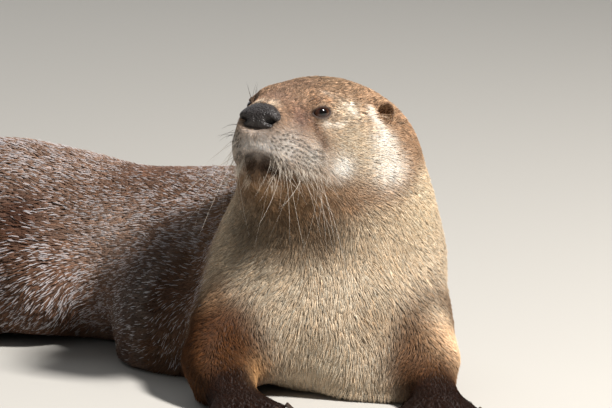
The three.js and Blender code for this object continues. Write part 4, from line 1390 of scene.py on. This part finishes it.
# Dry hair: a broad faint sheen. Wet hair: a tighter glint that picks out each lock.
soft_hair = hair_finish("soft throat and leg hair", 0.68, 0.12)
wet_hair = hair_finish("glossy back guard hair", 0.52, 0.36)

# %% Roots of the coat
SEED = 11
# Shares by which locks differ in length and width, and how far their lie strays.
LENGTH_SPREAD, WIDTH_SPREAD, LIE_SPREAD = (0.75, 1.3), (0.7, 1.3), 0.13
# Mean lift off the skin and its spread in degrees, its limits, and how much flatter hair lies on the head.
LIFT, LIFT_LIMITS, HEAD_FLATTER = (12, 4), (4, 30), 0.3

lock_corners, shares, uv = scatter(skin_mesh, density, SEED)
draw = np.random.default_rng(SEED + 1)


def rooted(values):
    """Values of the skin's corners, read at the roots of the coat."""
    return at_roots(values, lock_corners, shares)


roots, root_normals, root_lie = rooted(points), unit(rooted(normals)), unit(rooted(lie))
root_length = rooted(length) * MM * draw.uniform(*LENGTH_SPREAD, len(roots))
root_width = rooted(width) * MM * draw.uniform(*WIDTH_SPREAD, len(roots))
root_paint, root_face, root_pale_tips_and_glints = rooted(paint), rooted(on_face), rooted(pale_tips_and_glints)
root_head, root_crown = rooted(kept(skin_mesh, "of_head")), rooted(on_crown)
root_zone = zones[lock_corners[:, 0]]
lift = draw.normal(*LIFT, len(roots)).clip(*LIFT_LIMITS)
lift = np.radians(lift * (1 - HEAD_FLATTER * root_head))
root_lie = pressed(root_lie + LIE_SPREAD * draw.normal(size=roots.shape), root_normals)
print("locks:", len(roots))

# %% Dark spots at the whiskers
WHISKER_MIDDLE, WHISKER_REACH = (45, 0, -24), 50
root_places = rooted(face_places)
on_pads = np.flatnonzero(np.linalg.norm(root_places - WHISKER_MIDDLE, axis=1) < WHISKER_REACH)
half_length = (0.5 * root_length / MM)[on_pads, None]
lock_middles = root_places[on_pads] + half_length * (root_lie[on_pads] @ HEAD_AXES.T)
in_spot = np.exp(-((nearest_on(follicle_places, lock_middles)[0] / SPOT_REACH) ** 4))
root_paint[on_pads] *= 1 - SPOT_DARKNESS * in_spot[:, None]
print("locks in a dark spot:", int((in_spot > 0.5).sum()))

# %% Colours of a lock
# Light on the root, the two edges and the ridge of the waist, and the tip, for a dark and a pale lock.
DARK_LOCK_LIGHT = np.array([0.58, 1.0, 1.0, 1.0, 1.3])
PALE_LOCK_LIGHT = np.array([0.85, 1.0, 1.0, 1.0, 1.06])
# The pale tip colour stands both for silvered hairs and for painted glints of light on wet hair.
PALE_TIP_AND_GLINT, PALE_TIP_AND_GLINT_BLEND = linear("dcdade"), np.array([0, 0, 0, 0.5, 0.9])
# How much calmer pale hair and the face are, and the brightness over which each comes in.
PALE_CALM, PALE_RANGE, FACE_CALM, FACE_RANGE = 0.85, (0.25, 0.6), 0.8, (0.04, 0.2)
WARMTH, BRIGHTEST = 0.05, 0.92


def lock_colours(paint, clump, pale_tips_and_glints, draw, unevenness, face):
    """Colours of the five corners of each lock, dark at the root, with clumps and locks out of tone, and pale
    tips that are partly painted glints.
    """
    clump_tone = draw.normal(size=clump.max() + 1)[clump]
    bright = paint.mean(1)
    calm = np.maximum(ramp(bright, *PALE_RANGE), FACE_CALM * face * ramp(bright, *FACE_RANGE))
    unevenness = unevenness * (1 - PALE_CALM * calm)
    tone = np.exp(unevenness * (clump_tone + draw.normal(0, 1, len(paint))))
    warm = 1 + WARMTH * draw.normal(size=(len(paint), 1)) * np.array([[1, 0, -1]])
    base = paint * tone[:, None] * warm
    light = DARK_LOCK_LIGHT + calm[:, None] * (PALE_LOCK_LIGHT - DARK_LOCK_LIGHT)
    colours = base[:, None, :] * light[:, :, None]
    tipped_and_glinting = draw.random(len(paint)) < pale_tips_and_glints
    colours[tipped_and_glinting] += PALE_TIP_AND_GLINT_BLEND[:, None] * (PALE_TIP_AND_GLINT - colours[tipped_and_glinting])
    return colours.clip(0, BRIGHTEST)


# %% Clumps, shapes and colours of all the locks
CLUMP_TRUNK, CLUMP_FACE, CLUMP_PULL = 3.2 * MM, 2.2 * MM, (0.05, 0.5)
BODY_UNEVEN, HEAD_UNEVEN = 0.15, 0.13
trunk_clumps, face_clumps = (clumps(roots, cell, SEED + 2) for cell in (CLUMP_TRUNK, CLUMP_FACE))
clump = np.where(root_face > PARTLY, face_clumps + trunk_clumps.max() + 1, trunk_clumps)
clump = np.unique(clump, return_inverse=True)[1]
pull = draw.uniform(*CLUMP_PULL, len(roots))
all_points = lock_points(roots, root_normals, root_lie, root_length, root_width, lift, clump, pull)
unevenness = BODY_UNEVEN + HEAD_UNEVEN * root_head
all_colours = lock_colours(root_paint, clump, root_pale_tips_and_glints, draw, unevenness, root_head - root_crown)
print("clumps:", clump.max() + 1)

# %% Coat pieces
MOST_LOCKS = 32_000
COAT_SLOTS = {
    "head": "throat_fur",
    "neck": "throat_fur",
    "chest": "throat_fur",
    "belly": "back_fur",
    "rump": "back_fur",
    "tail": "back_fur",
    "foreleg": "leg_fur",
    "hindleg": "leg_fur",
    "forepaw": "paw_fur",
    "hindfoot": "paw_fur",
}


def dress(name, mesh, material):
    """A piece of the animal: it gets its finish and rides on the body."""
    mesh.materials.append(material)
    piece = new_object(name, mesh)
    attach(piece, "root")
    return piece


for zone, slot in COAT_SLOTS.items():
    numbers = [number for number, part in enumerate(FLESH) if part.startswith(zone)]
    members = np.flatnonzero(np.isin(root_zone, numbers))
    members = members[np.argsort(roots[members] @ HEAD_AXES[0])]
    for index, chunk in enumerate(np.array_split(members, math.ceil(len(members) / MOST_LOCKS)), 1):
        mesh = locks_mesh(f"coat_{zone}_{index}", all_points[chunk], all_colours[chunk], uv[chunk])
        dress(mesh.name, mesh, wet_hair if slot == "back_fur" else soft_hair)
        print(mesh.name, len(chunk), "locks")

# %% The skin stands for the flesh
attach(skin, "root")
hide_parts(*FLESH)
print("skin stands for", len(FLESH), "nodes")

# %% [markdown]
# ## Glass eyes
#
# A museum's eye is blown glass: near black, with a dark brown iris that shows only in a strong light, and
# a wet shine. Glass that lets light through needs many bounces of it and gains nothing over so dark an
# iris. So the ball is opaque, its rings are coloured by their true distance from the pupil, and a smooth
# clear coat over it gives the one small highlight that makes the animal look alive.

# %% Eye finish
# Distance from the pupil as a share of RING_SPAN, and colour: pupil, iris, its dark rim, and the white.
RING_SPAN = 8.0
EYE_RINGS = [
    (0.0, "050404"),
    (0.30, "060404"),
    (0.36, "2b160c"),
    (0.62, "3a2010"),
    (0.78, "120a07"),
    (0.9, "1d1512"),
]
EYE_GLOSS = {
    "Roughness": 0.12,
    "Specular IOR Level": 0.25,
    "Coat Weight": 1.0,
    "Coat Roughness": 0.1,
    "Coat IOR": 1.38,
}
glass_eye, tree, shader = new_material("glass eye")
ring = add_node(tree, "ShaderNodeAttribute", attribute_name="from_pupil")
rings = add_node(tree, "ShaderNodeValToRGB", {}, {"Fac": ring.outputs["Fac"]})
stops = rings.color_ramp.elements
stops.remove(stops[1])
stops[0].position, stops[0].color = 0.0, (*linear(EYE_RINGS[0][1]), 1)
for share, code in EYE_RINGS[1:]:
    stops.new(share).color = (*linear(code), 1)
tree.links.new(rings.outputs["Color"], shader.inputs["Base Color"])
for socket, value in EYE_GLOSS.items():
    shader.inputs[socket].default_value = value
print("finish:", glass_eye.name, "with", len(EYE_RINGS), "rings")

# %% The two eyes
for side, name in ((1, "left"), (-1, "right")):
    places, from_pupil, faces = eyeball(side)
    mesh = add_mesh(f"glass_eye_{name}", on_head(places), faces)
    keep(mesh, "from_pupil", from_pupil / RING_SPAN)
    outward(mesh)
    eye = dress(mesh.name, mesh, glass_eye)
    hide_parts(f"eye_{name}")
    print(mesh.name, len(mesh.vertices), "corners")

# %% [markdown]
# ## Nose skin
#
# An otter's nose is bare skin like fine pebbled leather, nearly black and damp. The pebbles could be
# modelled, but they are a millimetre across and a tenth of that high, so a bump from rounded cells is
# right for them, with painted shade that makes the gaps a little darker than the tops. It is moderately
# rough, which spreads the shine along the upper edge as on the damp pad. The inside of each nostril is
# darkened with painted shade.

# %% Nose finish
# Painted shade: the gaps between the pebbles are darker than their tops, and the nostrils darker inside.
PEBBLE, PEBBLE_HEIGHT, PEBBLE_TOP, PEBBLE_GAP_SHADE = 1.1 * MM, MM, "352f2e", "141110"
NOSTRIL_LIGHT = 0.12
nose_leather, tree, shader = new_material("bare pebbled nose skin")
place = add_node(tree, "ShaderNodeTexCoord").outputs["Object"]
cells = {"Scale": 1 / PEBBLE}
pebbles = add_node(tree, "ShaderNodeTexVoronoi", cells, {"Vector": place}, feature="SMOOTH_F1")
pebbles = pebbles.outputs["Distance"]
rise = add_node(tree, "ShaderNodeMath", {1: -1.0}, {0: pebbles}, operation="MULTIPLY").outputs["Value"]
bump = add_node(tree, "ShaderNodeBump", {"Strength": 1.0, "Distance": PEBBLE_HEIGHT}, {"Height": rise})
shade = add_node(tree, "ShaderNodeValToRGB", {}, {"Fac": pebbles})
for element, code in zip(shade.color_ramp.elements, (PEBBLE_TOP, PEBBLE_GAP_SHADE)):
    element.color = (*linear(code), 1)
nostril = add_node(tree, "ShaderNodeAttribute", attribute_name="nostril").outputs["Fac"]
darkening = {"To Min": 1.0, "To Max": NOSTRIL_LIGHT}
light = add_node(tree, "ShaderNodeMapRange", darkening, {"Value": nostril})
both = {0: shade.outputs["Color"], 1: light.outputs["Result"]}
tone = add_node(tree, "ShaderNodeVectorMath", {}, both, operation="MULTIPLY")
tree.links.new(tone.outputs["Vector"], shader.inputs["Base Color"])
tree.links.new(bump.outputs["Normal"], shader.inputs["Normal"])
shader.inputs["Roughness"].default_value = 0.45
print("finish:", nose_leather.name)

# %% The nose
places, nostril_shade_share, faces = nose_pad()
mesh = add_mesh("nose_pad", on_head(places), faces)
keep(mesh, "nostril", nostril_shade_share)
outward(mesh)
pad = dress("nose_pad", mesh, nose_leather)
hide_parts("nose")
print("nose pad:", len(mesh.vertices), "corners")

# %% [markdown]
# ## Ears
#
# An otter's ears are small round cups set low at the sides of the head. The flap stands highest behind
# and above, and the opening is dark. An ear could be sculpted out of the skin, but its thin rim would ask
# for very small faces there. So one profile is swept round an oval, higher at the back, and the locks of
# the coat cover its outside and its rim.

# %% Ear cups
EAR_FACING, EAR_HALF_WIDTH, EAR_HALF_HEIGHT = unit([0.52, 0.84, 0.10]), 7.4, 9.6
# From the root of the flap, over its rim, down to the canal: share of the oval, and height in mm.
EAR_PROFILE = [
    (1.10, -6.0),
    (1.12, -2.0),
    (1.10, 0.8),
    (1.03, 1.9),
    (0.95, 2.3),
    (0.87, 1.4),
    (0.74, -1.4),
    (0.54, -4.4),
    (0.30, -6.2),
    (0.10, -6.8),
]
EAR_STEPS, EAR_TURNS, EAR_LEAN = 34, 56, np.array([-0.28, 0, 1])
FLAP_HEIGHT, FLAP_TURN, INNER_SPAN = 0.9, np.radians(150), (0.36, 0.62)


def ear_cup(side):
    """Corners and faces of an ear in head millimetres, with how near each corner is to the ear's canal."""
    mirror = np.array([1, side, 1])
    facing = EAR_FACING * mirror
    up = unit(EAR_LEAN - (EAR_LEAN @ facing) * facing)
    ahead = np.cross(up, facing) * -side
    profile = np.array(EAR_PROFILE)
    steps = np.linspace(0, len(profile) - 1, EAR_STEPS)
    reach, height = (np.interp(steps, np.arange(len(profile)), column) for column in profile.T)
    angle = np.linspace(0, 2 * np.pi, EAR_TURNS, endpoint=False)
    flap = FLAP_HEIGHT + FLAP_HEIGHT * np.cos(angle - FLAP_TURN)
    k, a = np.meshgrid(reach, angle, indexing="ij")
    rise = np.where(height > 0, height, 0)[:, None] * flap[None] + np.where(height < 0, height, 0)[:, None]
    places = (
        EAR_PLACE * mirror
        + (k * EAR_HALF_WIDTH * np.cos(a))[..., None] * ahead
        + (k * EAR_HALF_HEIGHT * np.sin(a))[..., None] * up
        + rise[..., None] * facing
    )
    inner = np.repeat(ramp(steps / len(steps), *INNER_SPAN)[:, None], EAR_TURNS, 1)
    points = np.vstack([places.reshape(-1, 3), places[0].mean(0), places[-1].mean(0)])
    return points, capped_faces(EAR_STEPS, EAR_TURNS), np.append(inner.ravel(), [0, 1]), facing, up


print("ear opening, mm:", 2 * EAR_HALF_WIDTH, "by", 2 * EAR_HALF_HEIGHT)

# %% Ears and their hair
EAR_SKIN, EAR_HAIR, EAR_CANAL = (linear(code) for code in ("5e4433", "a98a6d", "150c08"))
# Locks per square millimetre, their length and width in mm, their lift in degrees, and their clumps.
EAR_DENSITY, EAR_LENGTH, EAR_WIDTH, EAR_LIFT = 2.2, (1.5, 2.8), (0.3, 0.5), (10, 35)
EAR_CLUMP, EAR_PULL, EAR_UNEVEN, EAR_STRAY = 1.5 * MM, 0.2, 0.2, 0.2
for side, name in ((1, "left"), (-1, "right")):
    places, faces, inner, facing, up = ear_cup(side)
    mesh = add_mesh(f"ear_cup_{name}", on_head(places), faces)
    outward(mesh)
    cup = unwrapped(mesh.name, mesh)
    ear_paint = EAR_SKIN + inner[:, None] * (EAR_CANAL - EAR_SKIN)
    keep(mesh, "coat_colour", ear_paint * UNDERFUR_SHADE)
    mesh.materials.append(skin_fur)
    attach(cup, "root")
    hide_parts(f"ear_{name}")
    ear_corners, ear_shares, ear_uv = scatter(mesh, EAR_DENSITY * (1 - inner), SEED + 20)
    ear_draw = np.random.default_rng(SEED + 21)
    base = at_roots(corners_of(mesh), ear_corners, ear_shares)
    normal = unit(at_roots(normals_of(mesh), ear_corners, ear_shares))
    to_rim = (0.8 * facing + 0.5 * up - [0.9, 0, 0]) @ HEAD_AXES
    flow = pressed(np.broadcast_to(to_rim, base.shape), normal)
    flow = pressed(flow + EAR_STRAY * ear_draw.normal(size=base.shape), normal)
    count = len(base)
    ear_clump = clumps(base, EAR_CLUMP, SEED + 22)
    lock_length, lock_width = (ear_draw.uniform(*span, count) * MM for span in (EAR_LENGTH, EAR_WIDTH))
    lock_lift = np.radians(ear_draw.uniform(*EAR_LIFT, count))
    pulls = np.full(count, EAR_PULL)
    lock = lock_points(base, normal, flow, lock_length, lock_width, lock_lift, ear_clump, pulls)
    in_cup = at_roots(ramp(inner, 0, 0.25), ear_corners, ear_shares)
    tint = EAR_HAIR + in_cup[:, None] * (EAR_CANAL - EAR_HAIR)
    tones = lock_colours(tint, ear_clump, np.zeros(count), ear_draw, EAR_UNEVEN, 0)
    mesh = locks_mesh(f"coat_ear_{name}", lock, tones, ear_uv)
    dress(mesh.name, mesh, soft_hair)
    print(mesh.name, count, "locks")

# %% [markdown]
# ## Whiskers and long hairs
#
# An otter's whiskers are pale, stiff and long, and they stand in rows on the pads beside the nose, each
# in a dark spot. They curve down and back. Finer hairs stand over each eye and in the ear. They could be
# curves with a bevel, but a bevelled curve leaves its ends open or flat. Each one here is a tapered tube
# along its own curve, closed at both ends, and all of a piece are made together from arrays. They are
# drawn a little thicker than real ones, so that they show.

# %% Tapered hairs
HAIR_SIDES, TAPER, TAPER_POWER, ANY_WAY = 5, 0.88, 1.6, (0.3, 0.2, 0.93)


def hair_mesh(name, paths, radius, colour_root, colour_tip):
    """Closed five-sided tubes along paths of shape (hairs, steps, 3), tapered to a point."""
    count, steps, _ = paths.shape
    tangent = unit(np.gradient(paths, axis=1))
    helper = unit(np.cross(tangent, ANY_WAY))
    other = np.cross(tangent, helper)
    angle = np.linspace(0, 2 * np.pi, HAIR_SIDES, endpoint=False)[None, None, :, None]
    share = np.linspace(0, 1, steps)
    girth = np.asarray(radius)[:, None] * (1 - share[None] ** TAPER_POWER * TAPER)
    ring = np.cos(angle) * helper[:, :, None] + np.sin(angle) * other[:, :, None]
    tube = paths[:, :, None] + girth[:, :, None, None] * ring
    tube = tube.reshape(count, steps * HAIR_SIDES, 3)
    points = np.concatenate([tube, paths[:, :1], paths[:, -1:]], axis=1)
    shift = (np.arange(count) * points.shape[1])[:, None, None]
    groups = capped_faces(steps, HAIR_SIDES)
    faces = [(group[None] + shift).reshape(-1, group.shape[1]) for group in groups]
    mesh = add_mesh(name, points.reshape(-1, 3), faces)
    outward(mesh)
    fade = np.append(np.repeat(share, HAIR_SIDES), [0, 1])[None, :, None]
    colours = colour_root[None, None] + fade * (colour_tip - colour_root)[None, None]
    keep(mesh, "coat_colour", np.broadcast_to(colours, (count, points.shape[1], 3)).reshape(-1, 3))
    return mesh


def curved(start, direction, length, sag, steps=9):
    """Paths that leave along a direction and bend by a sag, all given one to a row."""
    share = np.linspace(0, 1, steps)[None, :, None]
    reach = length[:, None, None]
    return start[:, None] + reach * (share * direction[:, None] + share**2 * sag[:, None])


# %% Whisker finish
# Keratin, solid and smooth: pale, with a narrow shine that runs along each whisker.
WHISKER_PALE, WHISKER_ROOT, DARK_HAIR = linear("efe8dc"), linear("b8a894"), linear("3a2c24")
fine_hair, tree, shader = new_material("stiff pale whisker")
tint = add_node(tree, "ShaderNodeAttribute", attribute_name="coat_colour")
tree.links.new(tint.outputs["Color"], shader.inputs["Base Color"])
shader.inputs["Roughness"].default_value = 0.35
shader.inputs["IOR"].default_value = 1.55
hair_draw = np.random.default_rng(SEED + 40)


def strays(amount, count):
    """Small random turns for a number of hairs."""
    return amount * hair_draw.normal(size=(count, 3))


def add_hairs(name, paths, radius, root_colour, tip_colour):
    """A piece of hairs along paths, with its finish."""
    mesh = hair_mesh(name, paths, radius, root_colour, tip_colour)
    dress(name, mesh, fine_hair)
    print(name, len(paths), "hairs")


# %% Whiskers
# The chance of a whisker at a root, and how far its root is sunk and how thick it is, in mm.
WHISKER_CHANCE, WHISKER_SUNK, WHISKER_RADIUS = 0.65, 0.4, (0.06, 0.11)
# Directions in head axes for the left side, and what the lower and the rear roots add to them.
WHISKER_WAY, LOW_TURN, BACK_TURN = np.array([[-0.1, 0.5, -0.35], [0.15, -0.15, -0.75], [-0.4, 0.1, -0.1]])
# Length in mm at the top front root, and what the lower and the rear roots add to it.
WHISKER_LENGTH, LOW_LONGER, BACK_LONGER, LENGTH_CHANCE = 13, 28, 4, (0.5, 1.35)
WHISKER_SAG = np.array([0, 0, -0.35])
for side, name, members in ((1, "left", follicles[0]), (-1, "right", follicles[1])):
    mirror = np.array([1, side, 1])
    low = row / (FOLLICLE_ROWS - 1)
    back = column / (FOLLICLE_COLUMNS - 1)
    use = hair_draw.random(len(members)) < WHISKER_CHANCE * (0.15 + low)
    members, low, back = members[use], low[use], back[use]
    count, roots_out = len(members), normals[members]
    aim_way = WHISKER_WAY * mirror + np.outer(low, LOW_TURN * mirror)
    aim_way += np.outer(back, BACK_TURN * mirror)
    direction = unit(unit(aim_way) @ HEAD_AXES + 0.3 * roots_out + strays(0.24, count))
    span = WHISKER_LENGTH + LOW_LONGER * low + BACK_LONGER * back
    span = span * hair_draw.uniform(*LENGTH_CHANCE, count) * MM
    sag = WHISKER_SAG + strays(0.3, count)
    radius = hair_draw.uniform(*WHISKER_RADIUS, count) * MM
    paths = curved(points[members] - roots_out * WHISKER_SUNK * MM, direction, span, sag)
    add_hairs(f"whiskers_{name}", paths, radius, WHISKER_ROOT, WHISKER_PALE)

# %% Fine hairs of the lip, the brow, the cheek, the chin and the ear
# Root in head mm, direction, bend, length in mm, how many, the scatter of the roots in mm, and colour.
FINE_HAIRS = [
    ((33, 26, 12), (-0.1, 0.35, 1.0), (-0.7, 0.3, -0.1), 15, 6, (3, 2, 1), DARK_HAIR),
    ((12, 46, -16), (-0.6, 0.5, -0.5), (0, 0, -0.2), 20, 4, (4, 3, 3), DARK_HAIR),
    ((52, 17, -18), (-0.3, 1.0, 0.0), (-0.3, 0, -0.2), 20, 9, (3, 2, 4), DARK_HAIR),
    ((50, 10, -46), (0.3, 0.3, -0.9), (-0.2, 0, -0.2), 9, 26, (5, 7, 3), WHISKER_ROOT),
    ((-18, 56, 15), (-0.5, 0.8, 0.1), (-0.3, 0, 0), 12, 9, (3, 1, 3), linear("a98a6c")),
]
FINE_RADIUS, FINE_LENGTHS, FINE_STRAY = (0.09, 0.15), (0.6, 1.2), 0.14
# Lip hairs: how many a side, which steps of the mouth line they stand on, how far above it, and sizes.
LIP_HAIRS, LIP_STEPS, LIP_ABOVE, LIP_LENGTH, LIP_RADIUS = 150, (12, 46), (1.5, 6), (3, 9), (0.04, 0.08)
LIP_WAY = np.array([-0.05, 0.12, -1.0])
for side, name in ((1, "left"), (-1, "right")):
    mirror = np.array([1, side, 1])
    along = hair_draw.uniform(*LIP_STEPS, LIP_HAIRS).astype(int)
    targets = MOUTH[along] * mirror + [0, 0, 1] * hair_draw.uniform(*LIP_ABOVE, (LIP_HAIRS, 1))
    members = on_skin(targets)
    way_down = LIP_WAY * mirror @ HEAD_AXES
    direction = unit(way_down + 0.45 * normals[members] + strays(0.25, LIP_HAIRS))
    sag = WHISKER_SAG + strays(0.1, LIP_HAIRS)
    paths = curved(points[members], direction, hair_draw.uniform(*LIP_LENGTH, LIP_HAIRS) * MM, sag, 6)
    radius = hair_draw.uniform(*LIP_RADIUS, LIP_HAIRS) * MM
    add_hairs(f"lip_hairs_{name}", paths, radius, WHISKER_ROOT, WHISKER_PALE)
    for number, (place, way, bend, reach, count, spread, colour) in enumerate(FINE_HAIRS, 1):
        targets = np.array(place) * mirror + strays(1, count) * spread
        members = on_skin(targets)
        direction = unit(np.array(way) * mirror @ HEAD_AXES + strays(FINE_STRAY, count))
        sag = np.broadcast_to(np.array(bend) * mirror @ HEAD_AXES, (count, 3))
        span = reach * hair_draw.uniform(*FINE_LENGTHS, count) * MM
        paths = curved(points[members], direction, span, sag, 7)
        radius = hair_draw.uniform(*FINE_RADIUS, count) * MM
        add_hairs(f"fine_hairs_{name}_{number}", paths, radius, colour, colour)

# %% [markdown]
# ## Claws
#
# An otter's claws are short cones of horn, worn dull by digging and walking. The cones of the form are
# already right, so they stay and get a finish only. A new mesh would add nothing at this size.

# %% Claw finish
# Horn is dense keratin: a low broad shine, and brown tones that cloud over a millimetre or so.
CLOUD, HORN_DARK, HORN_PALE = MM / 0.7, (0.35, "241a14"), (0.7, "4e3d31")
claw_horn, tree, shader = new_material("dull brown claw horn")
place = add_node(tree, "ShaderNodeTexCoord").outputs["Object"]
clouds = {"Scale": 1 / CLOUD, "Detail": 3.0}
grain = add_node(tree, "ShaderNodeTexNoise", clouds, {"Vector": place}).outputs["Fac"]
shade = add_node(tree, "ShaderNodeValToRGB", {}, {"Fac": grain})
for element, (share, code) in zip(shade.color_ramp.elements, (HORN_DARK, HORN_PALE)):
    element.position, element.color = share, (*linear(code), 1)
tree.links.new(shade.outputs["Color"], shader.inputs["Base Color"])
shader.inputs["Roughness"].default_value = 0.42
claws = [node for name, node in frame["nodes"].items() if "claw" in name]
for claw in claws:
    claw.data.materials.clear()
    claw.data.materials.append(claw_horn)
print("claws:", len(claws))
